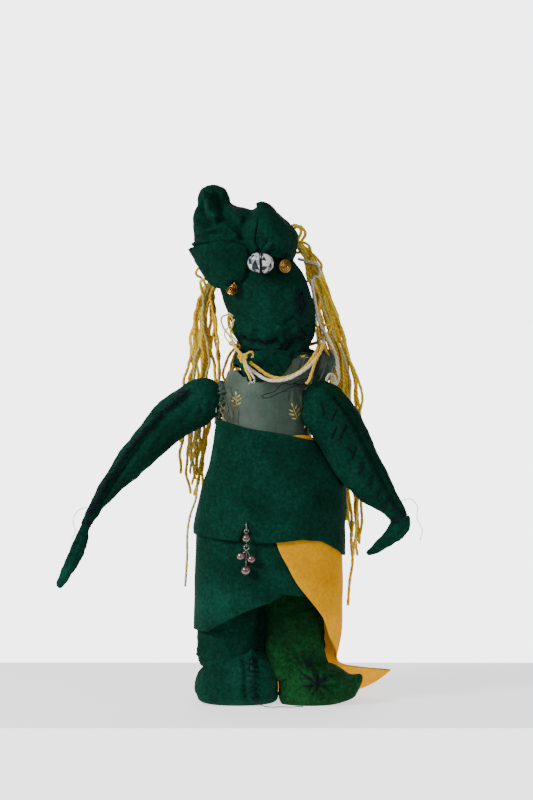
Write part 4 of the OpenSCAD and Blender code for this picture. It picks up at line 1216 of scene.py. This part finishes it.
def lock(name, stations, count, nodes, palette, seed, d=2.2, loops=()):
    """count strands spread through a lock's stations, and loops of yarn at its root"""
    r = random.Random(seed)
    steps = 140
    s = spline(stations, steps)
    out = []
    for k in range(count):
        a = GOLDEN_ANGLE * k + r.uniform(-0.4, 0.4)
        rad = math.sqrt((k + 0.5) / count)
        far = r.uniform(0.72, 1.0) if k % 4 else r.uniform(0.9, 1.0)
        m = max(14, int(steps * far))
        w, w2 = r.uniform(0, FULL_TURN), r.uniform(0, FULL_TURN)
        drift = r.uniform(-0.5, 0.5)
        f = np.arange(m) / (steps - 1.0)
        hw, hd = np.maximum(0.6, s[:m, 3] - d / 2), np.maximum(0.5, s[:m, 4] - d / 2)
        kick = r.uniform(-2.6, 2.6) * np.clip((f - far + 0.14) / 0.14, 0, 1) ** 2
        path = np.stack([s[:m, 0] + hw * np.clip(rad * math.cos(a) + drift * np.sin(f * 4.4 + w)
            + 0.16 * np.sin(f * 19 + w2), -1.15, 1.15) + kick + 0.4 * np.sin(np.arange(m) * 0.5
            + w), s[:m, 1] + hd * np.clip(rad * math.sin(a) + 0.3 * np.sin(f * 15 + w2), -1, 1),
            s[:m, 2]], 1)
        out.append(strand(f"{name}_{k}", path, d * r.uniform(0.78, 1.1), palette[k % len(palette)],
            taper=0.3))
    for k, points in enumerate(loops):
        out.append(strand(f"{name}_loop_{k}", spline(points, 9 * len(points)),
            d * r.uniform(0.85, 1.05), palette[k % len(palette)], taper=0.15))
    ob = join(name, out)
    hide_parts(*nodes)
    return ob


hair_r = lock("hair_right_yarn", HAIR_RIGHT, 17, ["hair_right"],
    [GOLD, LEMON, GOLD, LEMON, GOLD, GOLD, LEMON, OLIVE], seed=3, loops=[[(-32, 3, 289),
    (-38, 0, 294), (-43.5, -1, 295.5), (-45.5, 1, 291.5), (-41, 4, 288), (-38, 8, 281)],
    [(-30, 2, 284), (-36, -1, 288), (-42, -1, 287), (-42, 3, 282), (-40, 8, 274)]])
hair_l = lock("hair_left_yarn", HAIR_LEFT, 19, ["hair_left"],
    [GOLD, LEMON, GOLD, CREAM, GOLD, LEMON, GOLD], seed=11, loops=[[(12, 16, 314), (19, 10, 321),
    (25, 7, 324), (29, 6, 319), (26, 6, 313), (29, 7, 308), (29.5, 8, 298), (31, 9, 286)],
    [(14, 14, 318), (21, 9, 325), (26, 7, 321), (24, 6, 314), (28, 7, 310), (31, 8, 300),
    (33, 9, 288)], [(23, 9, 306), (30, 6, 307), (36, 4, 303), (40, 4, 297), (37.5, 5, 293),
    (33, 7, 296), (36, 9, 288), (39, 11, 278)], [(24, 8, 302), (31, 5, 300), (37, 4, 298),
    (38.5, 5, 291), (34, 7, 289), (37, 9, 281)], [(22, 8, 309), (26, 5, 313), (31, 4, 311),
    (33, 5, 304), (31, 8, 296), (35, 10, 286)]])
hair_b = lock("hair_back_yarn", HAIR_BACK, 40, ["hair_back"],
    [GOLD, LEMON, GOLD, GOLD, LEMON, GOLD, CREAM], seed=23, d=2.4)
for ob in (hair_r, hair_l, hair_b):
    with_hair(ob)


# ---------------------------------------------------------------- print, stitches and thread
def sprig(name, tree, x, z, size, turn):
    """a printed leaf sprig: a stem and pointed leaves laid on the satin"""
    verts, faces = [], []

    def leaf(cx, cz, length, width, ang):
        k = len(verts)
        pts = [(s * length, width * math.sin(math.pi * s) ** 0.8) for s in np.linspace(0, 1, 9)]
        ring = pts + [(a, -b) for a, b in reversed(pts[1:-1])]
        for a, b in ring:
            px = cx + a * math.cos(ang) - b * math.sin(ang)
            pz = cz + a * math.sin(ang) + b * math.cos(ang)
            fx = x + (px * math.cos(turn) - pz * math.sin(turn)) * size
            fz = z + (px * math.sin(turn) + pz * math.cos(turn)) * size
            verts.append(on_front(tree, fx, fz, 0.12))
        faces.append(tuple(range(k, k + len(ring))))

    leaf(0, -1.15, 2.1, 0.035, math.pi / 2)
    for h, l, lean in ((-0.75, 0.66, 1.15), (-0.28, 0.86, 0.95), (0.2, 0.74, 0.8)):
        for side_sign in (-1, 1):
            leaf(0.12 * side_sign, h + 0.12 * side_sign, l, 0.085, math.pi / 2 - side_sign * lean)
    leaf(0, 0.72, 0.62, 0.09, math.pi / 2)
    ob = mesh_object(name, metres(verts), faces)
    ob.data.materials.append(SPRIG)
    return ob


sprigs = join("bodice_print", [sprig("s1", bodice_tree, -18, 206.5, 4.6, 0.05),
    sprig("s2", bodice_tree, 21.5, 198.5, 5.2, 0.35), sprig("s3", bodice_tree, 29, 238, 4.4, -0.5)])
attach(sprigs, "torso")

arm_r_tree, arm_l_tree = bvh(right_arm), bvh(left_arm)


def seam_lines(line, count, across, seed, skew):
    """stitches across a seam"""
    r = random.Random(seed)
    pts = spline([(x, z, 0) for x, z in line], count)
    out = []
    for i in range(1, count - 1):
        t = pts[i + 1] - pts[i - 1]
        t /= np.linalg.norm(t)
        nrm = np.array([-t[1], t[0], 0])
        w = across * r.uniform(0.6, 1.3)
        s = skew + r.uniform(-1, 1)
        a, b = pts[i] - nrm * w + t * s, pts[i] + nrm * w - t * s
        out.append([(a[0], a[1]), (b[0], b[1])])
    return out


def sewn(name, tree, lines, body, d=0.75):
    """stitches laid on a surface and carried by one body"""
    st = stitch_set(name, tree, lines, d=d)
    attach(st, body)


def rough(lines, seed, amount):
    """hand sewing: every end a little off"""
    r = random.Random(seed)
    return [[(x + r.uniform(-amount, amount),
        z + r.uniform(-amount, amount)) for x, z in l] for l in lines]


sewn("arm_right_stitches", arm_r_tree, seam_lines(ridge, 36, 2.3, 5, 1.8) + rough([[ridge[k],
    ridge[k + 1]] for k in range(len(ridge) - 1)], 2, 1.2), "arm_right")
sewn("arm_left_stitches", arm_l_tree, [[(39, 206), (41, 197)], [(49.5, 201), (46, 193)],
    [(49.5, 189.5), (46, 181)], [(56, 191), (50.5, 179.5)], [(62.6, 176), (59.5, 167.5)],
    [(56, 175), (60, 171)], [(68, 166), (64, 157)], [(74, 157), (70.5, 149)],
    [(79, 149.5), (76, 141)], [(84.5, 142), (80, 135)], [(88, 136), (92.5, 131)],
    [(86, 132), (93, 134)]], "arm_left")
sewn("cheek_stitches", head_tree, rough([[(21, 279), (27, 281)], [(22, 275), (29, 277)],
    [(20, 271), (28, 273)], [(21, 267), (29, 268)], [(23, 282), (25, 272)], [(27, 280), (24, 268)],
    [(19, 263), (25, 259)], [(29, 273), (25, 263)], [(24, 277), (29, 270)], [(21, 274), (26, 266)]],
    4, 0.8), "head", 0.95)
neck_stitches = stitch_set("neck_stitches", neck_tree, rough([[(-17, 249), (-9, 247)],
    [(-13, 250), (-6, 244)], [(-8, 247), (0, 246)], [(-4, 249), (3, 243)], [(1, 246), (9, 247)],
    [(7, 249), (12, 244)], [(14, 250), (20, 245)], [(19, 252), (26, 248)], [(22, 256), (27, 249)],
    [(26, 254), (31, 247)], [(-12, 243), (-2, 240)], [(4, 241), (14, 238)]], 6, 0.9), d=0.9)
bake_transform(neck_stitches)
low_l_tree = bvh(shoe_l, leg_l)
shoe_r_tree = bvh(shoe_r)
sewn("shoe_left_stitches", low_l_tree, rough([[(30, 19), (43, 12)], [(34, 23), (40, 8)],
    [(28, 13), (40, 19)], [(37, 24), (37, 7)], [(29, 21), (44, 17)], [(24, 26), (32, 17)],
    [(33, 27), (35, 18)], [(31, 11), (42, 21)], [(25, 38), (30, 27)], [(33, 37), (31, 26)],
    [(26, 31), (35, 29)], [(21, 33), (27, 27)]], 8, 0.8), "foot_left")
sewn("shoe_right_stitches", shoe_r_tree, rough([[(-11, 34), (-5, 31)], [(-11, 30), (-5.5, 28)],
    [(-11.5, 26), (-5, 24)], [(-11, 22), (-5, 21)], [(-11, 17.5), (-4.5, 16)],
    [(-10.5, 13.5), (-4.5, 13)], [(-10, 9.5), (-4, 8)], [(-9.5, 6), (-4, 5)], [(-8, 33), (-9, 25)],
    [(-8, 20), (-7, 12)]], 12, 0.8), "foot_right")
sewn("bead_thread", bvh(bead), [[(-2.4, 305.5), (-1.9, 299.5), (-1.4, 293)],
    [(-1.2, 305.4), (-1.1, 299), (-0.6, 292.8)], [(-0.4, 305.2), (-1.6, 299.2), (-2, 293)]],
    "head", 0.95)
sewn("bead_knots", bvh(dome, side, head), rough([[(-7, 305), (-1, 304)], [(-5, 307), (0, 303)],
    [(-2, 309), (-1, 303)], [(2, 308), (0, 303)], [(5, 305), (0, 304)], [(-3, 293.5), (2, 291)],
    [(13, 303), (18, 304)], [(15, 305), (17, 301)]], 3, 0.6), "head", 0.65)

sewn("eye_threads", bvh(head, brow, dome), rough([[(-24, 286), (-19, 285)],
    [(-20, 287), (-15, 284)], [(-25, 284), (-20, 287)], [(-19, 284), (-14, 287)],
    [(-22, 288), (-22, 284)]], 9, 0.5), "head", 0.6)

# threads frayed from the satin beside the right armhole
frays = []
fray_r = random.Random(21)
for k in range(16):
    x, z = -27 + fray_r.uniform(0, 6), 214 - fray_r.uniform(0, 16)
    run = [(x, z)]
    for _ in range(4):
        run.append((run[-1][0] + fray_r.uniform(-1.2, 2.8), run[-1][1] - fray_r.uniform(1.5, 4.5)))
    laid = [on_front(bodice_tree, a, b, 0.7 + 0.5 * (i % 2)) for i, (a, b) in enumerate(run)]
    frays.append(strand(f"fray_{k}", spline(laid, 26), 0.42, FRAY, plies=2, sides=5))
frays = join("armhole_frays", frays)
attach(frays, "torso")


# the wrists are tied, and thread ends hang loose
def tie(name, centre, axis, r, turns, body):
    """thread wound round a wrist"""
    axis = np.array(axis, float) / np.linalg.norm(axis)
    u = np.cross(axis, (0, 1, 0))
    u /= np.linalg.norm(u)
    v = np.cross(axis, u)
    k = np.linspace(0, 2 * math.pi * turns, 26 * turns)
    path = (np.array(centre) + r * (np.cos(k)[:, None] * u + np.sin(k)[:, None] * v) + axis
        * (1.6 * np.sin(k * 0.37 + 1))[:, None])
    ob = strand(name, path, 0.6, THREAD, plies=2, sides=6)
    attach(ob, body)


tie("wrist_tie_right", (-119.6, 0, 122.6), (0.45, 0, 1), 3.6, 5, "arm_right")
tie("wrist_tie_left", (91.5, -16, 127.6), (-0.5, 0, 1), 6.4, 4, "arm_left")
yarn("thread_bodice", [(2, -30, 211), (8, -32, 213), (13, -32, 218), (19, -32, 217.6),
    (24, -31, 220), (31, -29, 222), (37, -25, 226.5)], 0.6, THREAD, plies=2)
yarn("thread_bodice_low", [(3, -31, 211.5), (-1, -31, 209.5), (3, -32, 208.4), (9, -32, 211),
    (14, -32, 213), (20, -31.5, 216), (27, -29, 217.5), (33, -27, 214)],
    0.6, THREAD, plies=2)
yarn("thread_wrist_left", [(90, -22, 133), (94, -24, 139), (100, -24, 140), (104, -23, 135),
    (104, -22, 127), (107.5, -21, 119), (106, -21, 112)],
    0.45, THREAD, "arm_left", plies=2)
yarn("thread_wrist_right", [(-114, -5, 130), (-119, -7, 133), (-125, -7, 131.5), (-129, -6, 125),
    (-127.5, -6, 117), (-130, -6, 111)], 0.45, THREAD, "arm_right", plies=2)
yarn("thread_shoe", [(-6.5, -31.5, 9), (-4, -35, 4.5), (0, -36, 1.6), (6, -37, 0.9),
    (12, -35.5, 1.0), (18, -36.5, 0.9), (23, -34.5, 0.9), (27, -36, 1.2)],
    0.6, THREAD, "foot_right", plies=2)

# ---------------------------------------------------------------- knots and loose yarn
k = np.linspace(0, 2 * math.pi, 90)
trefoil = np.stack([np.sin(k) + 2 * np.sin(2 * k),
    -np.sin(3 * k) * 0.9, np.cos(k) - 2 * np.cos(2 * k)], 1) * 0.95
ends = [[(-13, -34, 236), (-10.5, -35.5, 238.5), (-8, -35, 239.5), (-6.4, -34.5, 238.4)],
    [(-12, -34.5, 234), (-10.5, -36, 229.5), (-8, -36.5, 225), (-5.6, -36.5, 221.5)],
    [(-13, -34.5, 234), (-12, -36, 229), (-9.8, -36.6, 224.5), (-8.2, -36.6, 220.8)]]
tails = []
for i, e in enumerate(ends):
    tails.append(strand(f"tail_{i}", spline(e, 40), 1.5, (GOLD, CREAM, LEMON)[i], taper=0.2))
    tip = np.array(e[-1])
    for j in range(4):
        off = np.array([rnd.uniform(-1.6, 1.6), rnd.uniform(-0.6, 0.4), rnd.uniform(-3.2, -1.6)])
        tails.append(strand(f"tail_{i}_{j}", spline([e[-2], tip, tip + off], 16),
            0.5, (LEMON, CREAM, CREAM)[i], plies=2, sides=5))
knot = join("necklace_knot_yarn", [strand("knot", trefoil + np.array([-13.6, -34.2, 235.6]),
    1.9, GOLD)] + tails)
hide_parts("necklace_knot")
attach(knot, "torso")

yarn("tassel_cream", [(50, -1, 229), (51.5, -6, 222), (49, -10, 216.5), (44.5, -11, 216),
    (43, -11, 220), (45.5, -10, 224), (49, -9, 221), (47, -9, 214), (44, -9, 210)],
    2.0, CREAM)
yarn("necklace_end", [(38, -9, 246), (40, -14, 243), (38, -21, 238), (35, -27, 232), (33, -29, 226),
    (31, -29.5, 220.5), (29, -30, 218)], 1.9, GOLD)
yarn("neck_left_strand", [(-18, -17, 243), (-22, -16, 249), (-27, -14, 256), (-28, -13, 262),
    (-23, -13, 264), (-20, -14, 259), (-22, -15, 252), (-18, -18, 246)],
    1.3, LEMON)
yarn("neck_left_cream", [(-19, -18, 244), (-24, -17, 247), (-26, -16, 252), (-22, -15, 257),
    (-19, -15, 262), (-24, -14, 266)], 0.9, CREAM)
yarn("hair_long_right", [(-45, 22, 152), (-46, 22, 138), (-50, 22, 126), (-52, 22, 113),
    (-52.2, 22, 96), (-53.5, 22, 77)], 1.7, OLIVE, "neck")
yarn("hair_long_left", [(62, 22, 122), (60.5, 21, 108), (61.5, 21, 94), (59.5, 21, 80),
    (58.4, 21, 64)], 2.1, GOLD, "neck")
yarn("hair_stray_left", [(37, 6, 291), (44, 6, 277), (50.5, 7, 262), (55.5, 8, 249), (58, 10, 236),
    (64, 12, 222), (68, 14, 208), (66, 16, 196)], 2.0, LEMON, "hair")
yarn("hair_cream_left", [(32.5, 1, 288), (35.5, -2, 272), (38, -4, 259), (44.5, -5, 248),
    (49.5, -3, 236), (51.5, -2, 224)], 2.2, CREAM, "hair")
yarn("hair_kink_left", [(34, 3, 285), (38.5, 1, 276), (38, 0, 265), (41.5, -1, 257),
    (46.5, -1, 258.5), (45, 0, 253), (41, 1, 247), (42.5, 2, 240), (46, 3, 235)],
    2.0, GOLD, "hair")


# ---------------------------------------------------------------- the shelf and the light
def panel(name, pts, mat):
    """a flat part of the stage; pts are in metres"""
    ob = mesh_object(name, np.array(pts, float), [(0, 1, 2, 3)], smooth=False)
    ob.data.materials.append(mat)


PALE = plain_material("shelf_pale", (0.86, 0.86, 0.87), glow=1.08)
FRONT = plain_material("shelf_front_pale", (0.86, 0.86, 0.87), glow=2.0)
WALL = plain_material("wall_pale", (0.83, 0.83, 0.84), glow=3.8)
NEAR, FAR, HALF, BELOW = -0.15, 0.235, 2, -0.9  # the shelf's edges, half its width, its foot
WALL_Y, WALL_HALF, WALL_TOP = 3.2, 2.2, 2.2
panel("shelf_top", [(-HALF, NEAR, 0), (HALF, NEAR, 0), (HALF, FAR, 0), (-HALF, FAR, 0)], PALE)
panel("shelf_front", [(-HALF, NEAR, BELOW), (HALF, NEAR, BELOW), (HALF, NEAR, 0), (-HALF, NEAR, 0)],
    FRONT)
panel("wall", [(-WALL_HALF, WALL_Y, BELOW), (WALL_HALF, WALL_Y, BELOW),
    (WALL_HALF, WALL_Y, WALL_TOP), (-WALL_HALF, WALL_Y, WALL_TOP)], WALL)


def area_light(name, where, at, size, power):
    d = bpy.data.lights.new(name, "AREA")
    d.shape = "RECTANGLE"
    d.size, d.size_y = size
    d.energy = power
    ob = bpy.data.objects.new(name, d)
    scene.collection.objects.link(ob)
    ob.location = where
    ob.rotation_euler = (Vector(at) - Vector(where)).to_track_quat("-Z", "Y").to_euler()


area_light("key", (-1.3, -1.25, 1.0), (0, 0, 0.18), (0.5, 0.5), 37)
area_light("fill", (1.0, -1.9, 0.9), (0, 0, 0.2), (1.2, 1.2), 8)
world = bpy.data.worlds.new("world")
scene.world = world
world.use_nodes = True
world.node_tree.nodes["Background"].inputs[0].default_value = (0.95, 0.97, 1.0, 1)
world.node_tree.nodes["Background"].inputs[1].default_value = 0.38
